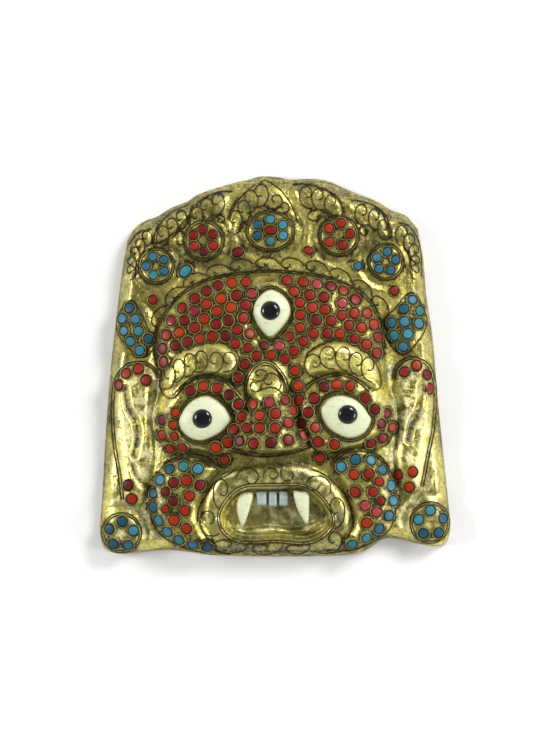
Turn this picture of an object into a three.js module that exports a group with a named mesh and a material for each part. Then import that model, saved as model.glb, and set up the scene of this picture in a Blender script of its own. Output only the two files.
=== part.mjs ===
// A brass cham mask, lying on its rim with the face up.
// Millimetres, +X to the wearer's left (the viewer's right), +Y to the crown, +Z out of the face.
// The sheet is one hammered shell, hollow behind. Eyes, fangs, teeth and set stones are pieces of their own.

import * as THREE from 'three';

// ---------------------------------------------------------------- driving dimensions

const SHEET = 1.2; // brass thickness
const HEM = 3.4; // width of the rim's flat, turned edge, where it is widest
const WALL = { height: 13, radius: 8 }; // rolled side wall
const SWELL = { rise: 7, halfWidth: 108, halfHeight: 120 }; // slow crowning of the whole sheet
const STEEPEST = 3; // slope past which the sheet's inside face keeps its distance
const GAP = 0.3; // bedding gap between a set piece and the sheet

const COLUMNS = 38;
const ROWS = 42;
const ROLL_STEPS = [0, 0.6, 2.2, 5, 9]; // rows crossing the rolled edge, from the rim inwards
const SHEET_WIDTH = 222;
const SHEET_HEIGHT = 240;

// The rim's four sides, as points that smooth curves pass through.
const CORNER = { lowLeft: [-108.5, -115], lowRight: [109, -111.5], highLeft: [-93.5, 79.5], highRight: [90.5, 87] };
const LEFT_SIDE = [
  CORNER.lowLeft, [-111, -104], [-109.5, -82], [-107.5, -45],
  [-104.5, -5], [-101, 28], [-97, 60], CORNER.highLeft,
];
const RIGHT_SIDE = [
  CORNER.lowRight, [111.1, -102], [109.5, -82], [106, -48],
  [103, -18], [100, 18], [96, 45], [94, 68], CORNER.highRight,
];
const CROWN_EDGE = [
  CORNER.highLeft, [-89, 87.5], [-82, 92.5], [-75, 95], [-66, 100.5], [-55, 105],
  [-49, 109], [-36, 113.5], [-24, 117], [-17, 118.5], [-9, 120.5], [2, 120],
  [9, 118.5], [20, 119], [32, 118], [42, 114], [52, 109.5], [64, 105],
  [74, 99], [83, 95.5], CORNER.highRight,
];
const CHIN_EDGE = [
  CORNER.lowLeft, [-101, -118.5], [-88, -118], [-72, -116.3], [-58, -117], [-40, -119.5],
  [-10, -120.4], [25, -120.2], [50, -119], [61, -114.5], [69, -109.3], [80, -109.6],
  [94, -113], [104, -113.8], CORNER.lowRight,
];

// ---------------------------------------------------------------- colours

const finish = (color, roughness, metalness) => new THREE.MeshStandardMaterial({ color, roughness, metalness });
const BRASS = finish('#a8963c', 0.35, 1);
const BONE = finish('#e6e8d0', 0.45, 0);
const BLACK_GLASS = finish('#0c0d10', 0.08, 0);
const TOOTH_STONE = finish('#8fa3b4', 0.35, 0);
const RED_STONE = finish('#c4301c', 0.35, 0);
const BLUE_STONE = finish('#3f86a8', 0.4, 0);

// ---------------------------------------------------------------- curves

const toVector = ([x, y]) => new THREE.Vector2(x, y);
const smoothPath = (points, steps) => new THREE.SplineCurve(points.map(toVector)).getSpacedPoints(steps);

const OUTLINE_STEPS = 160;
const sides = {
  left: smoothPath(LEFT_SIDE, OUTLINE_STEPS),
  right: smoothPath(RIGHT_SIDE, OUTLINE_STEPS),
  top: smoothPath(CROWN_EDGE, OUTLINE_STEPS),
  bottom: smoothPath(CHIN_EDGE, OUTLINE_STEPS),
};

function along(path, share) {
  const place = share * (path.length - 1);
  const index = Math.min(Math.floor(place), path.length - 2);
  return path[index].clone().lerp(path[index + 1], place - index);
}

// A point of the sheet seen from the front. Across and up run from 0 to 1 between the four sides.
function sheetPoint(across, up) {
  const corner = Object.fromEntries(Object.entries(CORNER).map(([name, at]) => [name, toVector(at)]));
  const between = (a, b, share) => a.clone().lerp(b, share);
  const vertical = between(along(sides.bottom, across), along(sides.top, across), up);
  const level = between(along(sides.left, up), along(sides.right, up), across);
  const low = between(corner.lowLeft, corner.lowRight, across);
  const high = between(corner.highLeft, corner.highRight, across);
  return vertical.add(level).sub(between(low, high, up));
}

function distanceTo(path, x, y) {
  let best = Infinity;
  for (let i = 0; i < path.length - 1; i += 1) {
    const a = path[i];
    const dx = path[i + 1].x - a.x;
    const dy = path[i + 1].y - a.y;
    const t = THREE.MathUtils.clamp(((x - a.x) * dx + (y - a.y) * dy) / (dx * dx + dy * dy), 0, 1);
    best = Math.min(best, Math.hypot(x - a.x - t * dx, y - a.y - t * dy));
  }
  return best;
}

function isInside(path, x, y) {
  let inside = false;
  for (let i = 0; i < path.length - 1; i += 1) {
    const a = path[i];
    const b = path[i + 1];
    if ((a.y > y) !== (b.y > y) && x < a.x + ((y - a.y) * (b.x - a.x)) / (b.y - a.y)) inside = !inside;
  }
  return inside;
}

// ---------------------------------------------------------------- hammered forms

const ease = (share) => THREE.MathUtils.smoothstep(share, 0, 1);

// How far out of an ellipse's centre a point lies: 1 is on its edge.
function reach(x, y, [cx, cy], [width, height], turn = 0, square = 2) {
  const angle = THREE.MathUtils.degToRad(turn);
  const dx = x - cx;
  const dy = y - cy;
  const along1 = Math.abs((dx * Math.cos(angle) + dy * Math.sin(angle)) / width);
  const along2 = Math.abs((dy * Math.cos(angle) - dx * Math.sin(angle)) / height);
  return (along1 ** square + along2 ** square) ** (1 / square);
}

// A round swelling. A low fullness makes it a tight dome with a steep foot.
const mound = (at, size, rise, { turn = 0, square = 2, fullness = 1 } = {}) => (x, y) => {
  const out = reach(x, y, at, size, turn, square);
  return out < 1 ? rise * (1 - out * out) ** fullness : 0;
};

// A flat-topped boss with a chased moat round its foot.
const boss = (at, size, rise, moat = 0) => (x, y) => {
  const out = reach(x, y, at, size);
  return rise * ease((1 - out) / 0.3) - moat * Math.exp(-(((out - 1.2) / 0.14) ** 2));
};

// A round ridge along a smooth path. A negative rise makes it a groove.
function ridge(points, width, rise) {
  const path = smoothPath(points, 6 * points.length);
  return (x, y) => {
    const gap = distanceTo(path, x, y);
    return gap < width ? rise * (1 - (gap / width) ** 2) ** 1.2 : 0;
  };
}

// A cushion with a smooth outline, steep at its foot. A sunk field has a soft edge instead.
function field(points, rise, edge) {
  const path = smoothPath([...points, points[0]], 6 * points.length);
  return (x, y) => {
    if (!isInside(path, x, y)) return 0;
    const share = Math.min(distanceTo(path, x, y) / edge, 1);
    return rise * (rise > 0 ? share * (2 - share) : ease(share));
  };
}

// The nose narrows to the bridge and is cut off sharply above the lip.
const NOSE = { middle: -3, bridge: -14, foot: -56, spread: 0.008, halfTop: 11, halfFoot: 27, rise: 19 };
function nose(x, y) {
  const off = x - NOSE.middle;
  const foot = NOSE.foot + NOSE.spread * off * off;
  const down = THREE.MathUtils.clamp((NOSE.bridge - y) / (NOSE.bridge - NOSE.foot), 0, 1);
  const half = THREE.MathUtils.lerp(NOSE.halfTop, NOSE.halfFoot, down ** 1.3);
  const across = Math.min(Math.abs(off) / half, 1);
  const lift = THREE.MathUtils.lerp(0.25, 1, down ** 0.8) * ease((NOSE.bridge + 6 - y) / 14);
  return NOSE.rise * lift * (1 - across ** 3) ** 0.8 * ease((y - foot) / 4);
}

// Medallions that carry rings of stones.
const MEDALLION = {
  centre: { at: [-3, 85.5], size: [17, 14], rise: 5 },
  innerLeft: { at: [-45, 79.5], size: [14, 14], rise: 5 },
  innerRight: { at: [40.3, 82.5], size: [14, 14], rise: 5 },
  outerLeft: { at: [-75, 63.4], size: [12.5, 12.5], rise: 4.5 },
  outerRight: { at: [70, 66], size: [12.5, 12.5], rise: 4.5 },
  cornerLeft: { at: [-97, -105.2], size: [14, 14], rise: 4 },
  cornerRight: { at: [98, -98.7], size: [14, 14.5], rise: 4 },
};

const LIP_OUTER = [
  [-47, -93], [-44, -79], [-34, -67], [-14, -61.5], [10, -60.5], [27, -65],
  [41, -76], [49, -93], [46, -108], [28, -117], [0, -118.5], [-28, -117], [-44, -108],
];
const MOUTH_RIM = [
  [-35.5, -94], [-29, -82], [-19, -75.5], [0, -74.5], [17, -75], [29, -82],
  [37, -96], [32, -106], [20, -111.5], [0, -110.5], [-20, -111], [-32, -105],
];
const FOREHEAD = [
  [-74, 8], [-73.5, 26], [-62, 43], [-40, 55.5], [-10, 60], [15, 59.3],
  [38, 55], [57, 43.5], [67, 27], [70, 4], [72, -22], [67, -42], [50, -52],
  [0, -58], [-50, -54], [-68, -46], [-74, -24],
];
const BROW_LEFT = [
  [-22, 4], [-28, 12.5], [-42, 16], [-57, 11.5], [-68, 1.5], [-72.5, -9],
  [-69.5, -18.5], [-63.5, -20], [-58, -12.5], [-48, -6.5], [-37, -6], [-27, -7],
];
const BROW_RIGHT = [
  [17, 2], [24, 11], [38, 16], [52, 13], [63, 5], [68, -6],
  [66, -14.5], [60.5, -13.5], [51, -7.5], [40, -4.5], [28, -5.5], [20, -6],
];
const CHEEK_LEFT = [
  [-35, -64], [-44, -57.5], [-58, -56], [-70, -62], [-78.5, -76], [-79.5, -92],
  [-73, -106], [-58, -115], [-42, -116.5], [-40, -108], [-47, -93], [-43, -77],
];
const CHEEK_RIGHT = [
  [36, -63], [41, -55], [53, -52], [66, -57], [75, -70], [78, -86],
  [73, -102], [61, -112], [46, -116], [43, -110], [49, -95], [44, -78],
];
const EAR_LEFT = [
  [-73, -8], [-79, 1], [-87, 3.5], [-97, -2], [-102.5, -14], [-102.5, -36],
  [-99.5, -60], [-96.5, -84], [-84, -86], [-78, -72], [-76, -45], [-75, -22],
];
const EAR_RIGHT = [
  [75, -6], [79, 3], [88, 6.5], [97, 1], [101.5, -12], [100.5, -36],
  [97, -56], [92.5, -78], [79, -78], [75, -60], [76, -40], [74, -20],
];

// The crown's flame-shaped leaves, from left to right.
const LEAVES = [
  [[-93, 57], [-94, 70], [-91.5, 79], [-87, 84.5], [-80, 87], [-77.5, 81], [-79.5, 73], [-84, 66], [-88, 58]],
  [[-76.5, 77], [-76, 86], [-72, 93], [-65, 98.5], [-55, 102.5], [-54.5, 96], [-57, 91], [-62, 85], [-69, 79]],
  [[-54.5, 87], [-54, 95], [-50, 103], [-41, 109], [-31, 110.5], [-29.5, 104], [-32, 98], [-39, 95], [-46, 90]],
  [
    [-30, 86], [-29, 95], [-24, 104], [-15, 113.5], [-6, 118.3], [2, 114], [10, 104],
    [15.5, 92], [9, 95], [2, 99], [-6, 99.5], [-13, 96.5], [-20, 91], [-25, 85],
  ],
  [[12, 115.5], [22, 115.5], [33, 111], [40, 105.5], [43.5, 96], [36, 94.5], [28, 99.5], [20, 100], [14.5, 105]],
  [[48, 105], [58, 104.5], [66, 98.5], [70.5, 90], [71.5, 82], [65, 82.5], [57, 88], [51, 92], [48.5, 98]],
  [[77, 91], [84, 89.5], [90, 82], [92.5, 72], [93, 57], [87, 55], [82.5, 62], [79.5, 70], [75.5, 77], [74, 84]],
];

const forms = [
  // head, cheeks and jaw stand out of the flat sheet as one mass
  mound([-3, -34], [79, 95], 9, { square: 3, fullness: 0.7 }),
  field(FOREHEAD, 6, 9),
  mound([-3, 14], [72, 50], 5, { square: 2.3, fullness: 0.8 }),
  field(BROW_LEFT, 5, 6),
  field(BROW_RIGHT, 5, 6),
  mound([-42, -14], [24, 8], -3),
  mound([41, -13], [24, 8], -3),
  // eyeballs, with the third one low on the forehead
  mound([-46, -33], [31, 26], 11, { square: 2.3, fullness: 0.6 }),
  mound([46, -31], [31, 26], 11, { square: 2.3, fullness: 0.6 }),
  mound([-2.8, 33], [16, 18], 2.5, { fullness: 0.7 }),
  // knot at the root of the nose
  mound([-4.8, -9], [13.5, 13.5], 5, { square: 3, fullness: 0.5 }),
  nose,
  field(CHEEK_LEFT, 8, 9),
  field(CHEEK_RIGHT, 8, 9),
  field(LIP_OUTER, 4, 6),
  field(MOUTH_RIM, -12, 5),
  ridge([[-33, -97], [-26, -103], [-18, -105.5], [-3, -104], [10, -105.5], [22, -103], [34, -96]], 4, 4),
  // ears with their inner folds
  field(EAR_LEFT, 4.5, 8),
  field(EAR_RIGHT, 4.5, 8),
  ridge([[-95, -15], [-93, -26], [-88.5, -34], [-86.6, -43], [-89, -56]], 3.5, -2.5),
  ridge([[93, -12], [92, -25], [86.5, -36], [84, -46]], 3.5, -2.5),
  ridge([[-90, -63], [-86, -72], [-78, -77]], 3, -2),
  mound([-104, -75], [4.5, 9], 2.5, { turn: 12 }),
  mound([103.5, -70], [4.5, 10], 2.5, { turn: -14 }),
  // temples
  mound([-88, 24], [13, 17], 3, { fullness: 0.6 }),
  mound([82, 27], [13, 18], 3, { fullness: 0.6 }),
  // crown
  ...Object.values(MEDALLION).map(({ at, size, rise }) => boss(at, size, rise, 1)),
  ...LEAVES.map((outline) => field(outline, 1.4, 3.5)),
];

const rim = [...sides.bottom, ...sides.right, ...[...sides.top].reverse(), ...[...sides.left].reverse()]
  .filter((point, i, all) => i === 0 || point.distanceTo(all[i - 1]) > 0.01);

// Level seats that the eyes are bedded on: the height at the middle, and the slope across and up.
const EYE_SEATS = [
  { at: [-2.9, 33.5], size: [13.5, 17.5], height: 34, slope: [0, -0.05] },
  { at: [-44.3, -32.7], size: [18, 16], height: 38, slope: [0.06, 0.04] },
  { at: [44.3, -31.5], size: [18, 16], height: 38, slope: [-0.06, 0.04] },
];

function withSeats(x, y, height) {
  return EYE_SEATS.reduce((level, { at, size, height: middle, slope }) => {
    const plane = middle + slope[0] * (x - at[0]) + slope[1] * (y - at[1]);
    return THREE.MathUtils.lerp(level, plane, ease((1.25 - reach(x, y, at, size)) / 0.2));
  }, height);
}

// Height of the sheet's outer face above the rim.
function faceHeight(x, y) {
  const inward = distanceTo(rim, x, y);
  const roll = 1 - Math.min(inward / WALL.radius, 1);
  const wall = WALL.height * Math.sqrt(1 - roll * roll);
  const flatX = Math.min(Math.abs(x / SWELL.halfWidth), 1) ** 4;
  const flatY = Math.min(Math.abs(y / SWELL.halfHeight), 1) ** 4;
  const swell = SWELL.rise * (1 - flatX) * (1 - flatY);
  const relief = forms.reduce((sum, form) => sum + form(x, y), 0);
  return withSeats(x, y, wall + (swell + relief) * ease(inward / WALL.radius));
}

// ---------------------------------------------------------------- the sheet

function gridShare(index, count, length) {
  const roll = ROLL_STEPS.length - 1;
  if (index <= roll) return ROLL_STEPS[index] / length;
  if (index >= count - roll) return 1 - ROLL_STEPS[count - index] / length;
  const edge = ROLL_STEPS[roll] / length;
  return THREE.MathUtils.mapLinear(index, roll, count - roll, edge, 1 - edge);
}

function sheetGeometry() {
  const geometry = new THREE.BoxGeometry(1, 1, 1, COLUMNS, ROWS, 1);
  const place = geometry.attributes.position;
  for (let i = 0; i < place.count; i += 1) {
    const column = Math.round((place.getX(i) + 0.5) * COLUMNS);
    const row = Math.round((place.getY(i) + 0.5) * ROWS);
    const isFront = place.getZ(i) > 0;
    const isEdge = column === 0 || row === 0 || column === COLUMNS || row === ROWS;
    let across = gridShare(column, COLUMNS, SHEET_WIDTH);
    let up = gridShare(row, ROWS, SHEET_HEIGHT);
    if (isEdge && !isFront) {
      across = THREE.MathUtils.clamp(across, HEM / SHEET_WIDTH, 1 - HEM / SHEET_WIDTH);
      up = THREE.MathUtils.clamp(up, HEM / SHEET_HEIGHT, 1 - HEM / SHEET_HEIGHT);
    }
    const at = sheetPoint(across, up);
    const height = isEdge ? 0 : faceHeight(at.x, at.y);
    place.setXYZ(i, at.x, at.y, isFront || isEdge ? height : insideHeight(at.x, at.y, height));
  }
  return geometry;
}

// Height of the sheet's inside face, which stays above the rim's plane.
function insideHeight(x, y, height) {
  const step = 0.5;
  const slopeX = (faceHeight(x + step, y) - height) / step;
  const slopeY = (faceHeight(x, y + step) - height) / step;
  const depth = SHEET * Math.sqrt(1 + Math.min(Math.hypot(slopeX, slopeY), STEEPEST) ** 2);
  return Math.max(height - depth, 0.3 * height);
}

const sheet = new THREE.Mesh(sheetGeometry(), BRASS);
sheet.name = 'mask_shell';

// ---------------------------------------------------------------- bedding pieces on the sheet

const probe = new THREE.Raycaster();
function sheetTop(x, y) {
  probe.set(new THREE.Vector3(x, y, 200), new THREE.Vector3(0, 0, -1));
  return probe.intersectObject(sheet)[0].point;
}

// Sets a piece on the sheet: its base faces along the local slope and clears every point it covers.
function bed(mesh, [x, y], radius, { lean = 1, lift = GAP } = {}) {
  const steps = 16;
  const ringAt = (reachOut) => Array.from({ length: steps }, (unused, i) => {
    const angle = (2 * Math.PI * i) / steps;
    return sheetTop(x + reachOut * Math.cos(angle), y + reachOut * Math.sin(angle));
  });
  const ring = ringAt(radius);
  const normal = new THREE.Vector3();
  const centre = sheetTop(x, y);
  ring.forEach((point, i) => {
    const a = point.clone().sub(centre);
    const b = ring[(i + 1) % steps].clone().sub(centre);
    normal.add(a.cross(b));
  });
  normal.normalize();
  normal.set(normal.x * lean, normal.y * lean, normal.z).normalize();
  const under = [ring, ringAt(0.7 * radius), ringAt(0.35 * radius)].flat();
  const rises = under.map((point) => point.clone().sub(centre).dot(normal));
  mesh.position.copy(centre).addScaledVector(normal, Math.max(0, ...rises) + lift);
  mesh.quaternion.setFromUnitVectors(new THREE.Vector3(0, 0, 1), normal);
  return mesh;
}

const mask = new THREE.Group();
mask.add(sheet);

function addPiece(name, geometry, material, at, radius, bedding) {
  const mesh = new THREE.Mesh(geometry, material);
  mesh.name = name;
  mask.add(bed(mesh, at, radius, bedding));
  return mesh;
}

// A turned solid from a profile of [radius, height] pairs, standing on its base.
function turned(profile, sidesRound) {
  const geometry = new THREE.LatheGeometry(profile.map(toVector), sidesRound);
  return geometry.rotateX(Math.PI / 2);
}

// ---------------------------------------------------------------- eyes

const PUPIL = { radius: 5.7, pocket: 6.1, sink: 1.6, height: 3.4 };
const EYE = { rim: 1.2, height: 4.6, sidesRound: 28 };

// Eye shapes, as distances from the pupil to the rim, evenly round from the right-hand corner.
const EYE_SHAPES = {
  third: { at: [-2.9, 35], reaches: [12.4, 12.6, 13.2, 12, 10.9, 10.6, 12, 16.4, 12, 11] },
  left: { at: [-45.6, -32.7], reaches: [17.2, 14.6, 13.9, 14.1, 14.2, 14.6, 12.8, 13.2, 13.7, 14.4] },
  right: { at: [45.5, -30.1], reaches: [13.8, 12.6, 12.5, 12.6, 14.8, 16.4, 13.6, 14, 14.6, 15.4] },
};

function eyeGeometry(reaches) {
  const pocketShare = 0.4;
  const floor = EYE.height - PUPIL.sink;
  const geometry = turned([
    [0, 0], [1, 0], [1, EYE.rim], [0.88, 0.62 * EYE.height], [0.66, 0.9 * EYE.height],
    [pocketShare, EYE.height], [pocketShare, floor], [0, floor],
  ], EYE.sidesRound);
  const place = geometry.attributes.position;
  const rimShape = new THREE.SplineCurve([...reaches, reaches[0]].map((value, i) => new THREE.Vector2(i, value)));
  for (let i = 0; i < place.count; i += 1) {
    const share = Math.hypot(place.getX(i), place.getY(i));
    const angle = (Math.atan2(place.getY(i), place.getX(i)) + 2 * Math.PI) % (2 * Math.PI);
    const edge = rimShape.getPoint(angle / (2 * Math.PI)).y;
    const inner = Math.min(share / pocketShare, 1) * PUPIL.pocket;
    const outer = Math.max((share - pocketShare) / (1 - pocketShare), 0) * (edge - PUPIL.pocket);
    const radius = inner + outer;
    place.setX(i, radius * Math.cos(angle));
    place.setY(i, radius * Math.sin(angle));
  }
  return geometry;
}

for (const [side, { at, reaches }] of Object.entries(EYE_SHAPES)) {
  const eye = addPiece(`eye_${side}`, eyeGeometry(reaches), BONE, at, 16.4, { lean: 0.8 });
  const pupil = new THREE.Mesh(turned([
    [0, 0], [PUPIL.radius, 0], [PUPIL.radius, 0.45 * PUPIL.height],
    [0.72 * PUPIL.radius, 0.85 * PUPIL.height], [0, PUPIL.height],
  ], 16), BLACK_GLASS);
  pupil.name = `pupil_${side}`;
  pupil.quaternion.copy(eye.quaternion);
  const seat = new THREE.Vector3(0, 0, EYE.height - PUPIL.sink + GAP).applyQuaternion(eye.quaternion);
  pupil.position.copy(eye.position).add(seat);
  mask.add(pupil);
}

// ---------------------------------------------------------------- fangs and teeth

function slab(points, depth, bevel) {
  const shape = new THREE.Shape(smoothPath([...points, points[0]], 3 * points.length));
  const geometry = new THREE.ExtrudeGeometry(shape, {
    depth: depth - 2 * bevel, bevelThickness: bevel, bevelSize: bevel, bevelOffset: -bevel, bevelSegments: 2,
  });
  return geometry.translate(0, 0, bevel);
}

const FANG = { depth: 5, bevel: 1.2 };
const FANG_SHAPES = {
  left: {
    at: [-19.5, -89.5],
    points: [[-3.8, 7.6], [-4.6, 0], [-2.4, -12], [1.6, -5.5], [4.6, 3], [5.2, 9.6], [1, 9.2]],
  },
  right: {
    at: [16.5, -88.5],
    points: [[-4.6, 9.4], [4.3, 8.8], [4.6, 0], [4, -11], [0.2, -6.5], [-3.6, 2]],
  },
};
for (const [side, { at, points }] of Object.entries(FANG_SHAPES)) {
  addPiece(`fang_${side}`, slab(points, FANG.depth, FANG.bevel), BONE, at, 9, { lean: 0.2 });
}

const TOOTH = { height: 9, depth: 4, bevel: 1 };
const TEETH = { left: { x: -8.5, width: 6.3 }, middle: { x: -1.4, width: 5 }, right: { x: 5.4, width: 5.4 } };
for (const [side, { x, width }] of Object.entries(TEETH)) {
  const outer = [[-1, -1], [1, -1], [1, 1], [-1, 1]].map(([sx, sy]) => [(sx * width) / 2, (sy * TOOTH.height) / 2]);
  const shape = new THREE.Shape(outer.map(toVector));
  const geometry = new THREE.ExtrudeGeometry(shape, {
    depth: TOOTH.depth - 2 * TOOTH.bevel, bevelThickness: TOOTH.bevel,
    bevelSize: TOOTH.bevel, bevelOffset: -TOOTH.bevel, bevelSegments: 1,
  }).translate(0, 0, TOOTH.bevel);
  addPiece(`tooth_${side}`, geometry, TOOTH_STONE, [x, -83.4], 4.5, { lean: 0 });
}

// ---------------------------------------------------------------- stones

const STONE = { height: 2.2, girdle: 0.9, sidesRound: 10 };

function addStone(name, material, at, [length, width], turn = 0) {
  const profile = [[0, 0], [1, 0], [1, STONE.girdle], [0.7, 0.86 * STONE.height], [0, STONE.height]];
  const geometry = turned(profile, STONE.sidesRound);
  geometry.scale(length / 2, width / 2, 1).rotateZ(THREE.MathUtils.degToRad(turn));
  addPiece(name, geometry, material, at, length / 2);
}

function addRing(name, material, { at, radius, flatten = 1, count, start, size }) {
  for (let i = 0; i < count; i += 1) {
    const angle = THREE.MathUtils.degToRad(start - (360 * i) / count);
    const place = [at[0] + radius * Math.cos(angle), at[1] + radius * flatten * Math.sin(angle)];
    addStone(`${name}_${i + 1}`, material, place, [size, size]);
  }
}

addStone('crown_centre_red', RED_STONE, [-2.7, 85.9], [8.4, 6.5]);
addRing('crown_centre_blue', BLUE_STONE, { at: [-3, 86], radius: 9.3, flatten: 0.73, count: 6, start: 90, size: 6 });
addRing('crown_inner_left', RED_STONE, { at: [-45.3, 79.6], radius: 7, count: 6, start: 92, size: 6 });
addRing('crown_inner_right', RED_STONE, { at: [40, 83.3], radius: 7.3, count: 5, start: 148, size: 6.1 });
addRing('crown_outer_left', BLUE_STONE, { at: [-75.1, 63.6], radius: 6.1, count: 5, start: 110, size: 5.7 });
addRing('crown_outer_right', BLUE_STONE, { at: [69.9, 66.2], radius: 6.2, count: 5, start: 155, size: 5.7 });
addRing('corner_left', BLUE_STONE, { at: [-97, -105.6], radius: 7.8, count: 5, start: 86, size: 6.6 });
addRing('corner_right', BLUE_STONE, { at: [98.2, -98.8], radius: 7.9, count: 5, start: 92, size: 6.6 });
addStone('band_oval_blue', BLUE_STONE, [-56.6, 60.2], [9.4, 7.2], 45);
addStone('band_oval_red_left', RED_STONE, [-23.6, 72], [7.6, 6.2]);
addStone('band_oval_red_right', RED_STONE, [21.2, 73.3], [6.6, 4.5], -15);
addStone('band_round_blue', BLUE_STONE, [52.1, 63.4], [5.8, 5.8]);
addStone('temple_red_left', RED_STONE, [-77, 42.1], [6.2, 6.2]);
addStone('temple_red_right', RED_STONE, [75.2, 47.8], [6.2, 6.2]);

export default mask;
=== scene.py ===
# %% [markdown]
# # A hammered brass cham mask
#
# This notebook builds the looks of a wrathful protector's mask: one brass sheet raised from behind, chased from the
# front, dressed with soldered wire scrolls and set with coral-red glass and turquoise-blue stones.
# The frame that is loaded first holds the solids at their real size, and every place below is in that frame.

# %% Load the frame
import math
import random

import bmesh
import bpy
import numpy as np
from mathutils import Matrix, Vector, kdtree


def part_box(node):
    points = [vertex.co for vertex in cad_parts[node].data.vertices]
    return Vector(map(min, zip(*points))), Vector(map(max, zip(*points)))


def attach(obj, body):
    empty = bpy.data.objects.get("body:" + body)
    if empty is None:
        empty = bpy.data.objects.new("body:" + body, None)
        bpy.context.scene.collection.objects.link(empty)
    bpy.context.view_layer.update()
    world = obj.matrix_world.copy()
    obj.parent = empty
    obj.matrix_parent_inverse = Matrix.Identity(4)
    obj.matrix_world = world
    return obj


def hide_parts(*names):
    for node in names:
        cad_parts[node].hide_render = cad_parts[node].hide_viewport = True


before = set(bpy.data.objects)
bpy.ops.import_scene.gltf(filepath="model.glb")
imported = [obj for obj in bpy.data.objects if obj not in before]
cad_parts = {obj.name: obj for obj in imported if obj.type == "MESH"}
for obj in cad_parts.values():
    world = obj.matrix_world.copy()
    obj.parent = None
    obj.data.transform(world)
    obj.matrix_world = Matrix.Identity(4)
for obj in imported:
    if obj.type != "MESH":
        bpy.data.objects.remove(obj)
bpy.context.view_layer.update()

MM = 0.001

# %% [markdown]
# ## Smooth lines
#
# A maker draws with a few points and lets a bent strip of metal fair the line between them. The same is done here:
# a Catmull-Rom curve runs through each short list of points, and is then cut into equal steps.
# A curve object could do it too, but plain arrays can be measured by the thousand, which the relief needs.

# %% Curves through a few points


def smooth_path(points, steps, closed=False):
    """Equal steps along a Catmull-Rom curve through the points."""
    given = np.array(points, float)
    if closed:
        given = np.vstack([given, given[:1]])
    before = np.vstack([given[-2] if closed else given[0], given[:-1]])[:-1]
    after = np.vstack([given[1:], given[1] if closed else given[-1]])[1:]
    start, end = given[:-1], given[1:]
    t = np.linspace(0, 1, 24, endpoint=False)[None, :, None]
    a, b, c, d = (p[:, None, :] for p in (before, start, end, after))
    fine = 0.5 * (2 * b + (c - a) * t + (2 * a - 5 * b + 4 * c - d) * t**2 + (3 * b - a - 3 * c + d) * t**3)
    fine = np.vstack([fine.reshape(-1, given.shape[1]), given[-1:]])
    length = np.concatenate([[0], np.cumsum(np.linalg.norm(np.diff(fine, axis=0), axis=1))])
    where = np.linspace(0, length[-1], steps + 1)
    return np.stack([np.interp(where, length, fine[:, k]) for k in range(fine.shape[1])], axis=1)


def path_length(path):
    return float(np.linalg.norm(np.diff(path, axis=0), axis=1).sum())


def distance_to(path, x, y):
    """Distance from each point to the nearest place on a path."""
    best = np.full(x.shape, 1e9)
    for (ax, ay), (bx, by) in zip(path[:-1], path[1:]):
        dx, dy = bx - ax, by - ay
        t = np.clip(((x - ax) * dx + (y - ay) * dy) / (dx * dx + dy * dy + 1e-12), 0, 1)
        best = np.minimum(best, np.hypot(x - ax - t * dx, y - ay - t * dy))
    return best


def is_inside(path, x, y):
    inside = np.zeros(x.shape, bool)
    for (ax, ay), (bx, by) in zip(path[:-1], path[1:]):
        if ay != by:
            inside ^= ((ay > y) != (by > y)) & (x < ax + (y - ay) * (bx - ax) / (by - ay))
    return inside


def ease(share):
    share = np.clip(share, 0, 1)
    return share * share * (3 - 2 * share)


# %% [markdown]
# ## The outline
#
# The rim is four smooth sides between four corners: the two ears, the chin and the scalloped crown.
# A sheet stretched between four sides is a Coons patch: each point blends the two curves beside it and the two
# curves above and below it. It keeps the rows of the sheet following the rim, so the rolled edge has clean quads.

# %% Rim and patch
LOW_LEFT, LOW_RIGHT, HIGH_LEFT, HIGH_RIGHT = (-108.5, -115), (109, -111.5), (-93.5, 79.5), (90.5, 87)
SIDES = {
    "left": [LOW_LEFT, (-111, -104), (-109.5, -82), (-107.5, -45), (-104.5, -5), (-101, 28), (-97, 60), HIGH_LEFT],
    "right": [
        LOW_RIGHT, (111.1, -102), (109.5, -82), (106, -48), (103, -18), (100, 18), (96, 45), (94, 68), HIGH_RIGHT,
    ],
    "top": [
        HIGH_LEFT, (-89, 87.5), (-82, 92.5), (-75, 95), (-66, 100.5), (-55, 105), (-49, 109), (-36, 113.5),
        (-24, 117), (-17, 118.5), (-9, 120.5), (2, 120), (9, 118.5), (20, 119), (32, 118), (42, 114),
        (52, 109.5), (64, 105), (74, 99), (83, 95.5), HIGH_RIGHT,
    ],
    "bottom": [
        LOW_LEFT, (-101, -118.5), (-88, -118), (-72, -116.3), (-58, -117), (-40, -119.5), (-10, -120.4),
        (25, -120.2), (50, -119), (61, -114.5), (69, -109.3), (80, -109.6), (94, -113), (104, -113.8), LOW_RIGHT,
    ],
}
SIDE_STEPS = 160
side = {name: smooth_path(points, SIDE_STEPS) for name, points in SIDES.items()}
rim = np.vstack([side["bottom"], side["right"][1:], side["top"][::-1][1:], side["left"][::-1][1:]])


def along(path, share):
    place = np.asarray(share) * (len(path) - 1)
    return np.stack([np.interp(place, np.arange(len(path)), path[:, k]) for k in (0, 1)], axis=-1)


def sheet_point(across, up):
    """Where the sheet's point lies, seen from the front. Across and up run from 0 to 1."""
    u, v = across[..., None], up[..., None]
    corners = [np.array(c) for c in (LOW_LEFT, LOW_RIGHT, HIGH_LEFT, HIGH_RIGHT)]
    vertical = (1 - v) * along(side["bottom"], across) + v * along(side["top"], across)
    level = (1 - u) * along(side["left"], up) + u * along(side["right"], up)
    low = (1 - u) * corners[0] + u * corners[1]
    high = (1 - u) * corners[2] + u * corners[3]
    return vertical + level - (1 - v) * low - v * high


print(f"rim: {path_length(rim):.0f} mm round")

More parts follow.
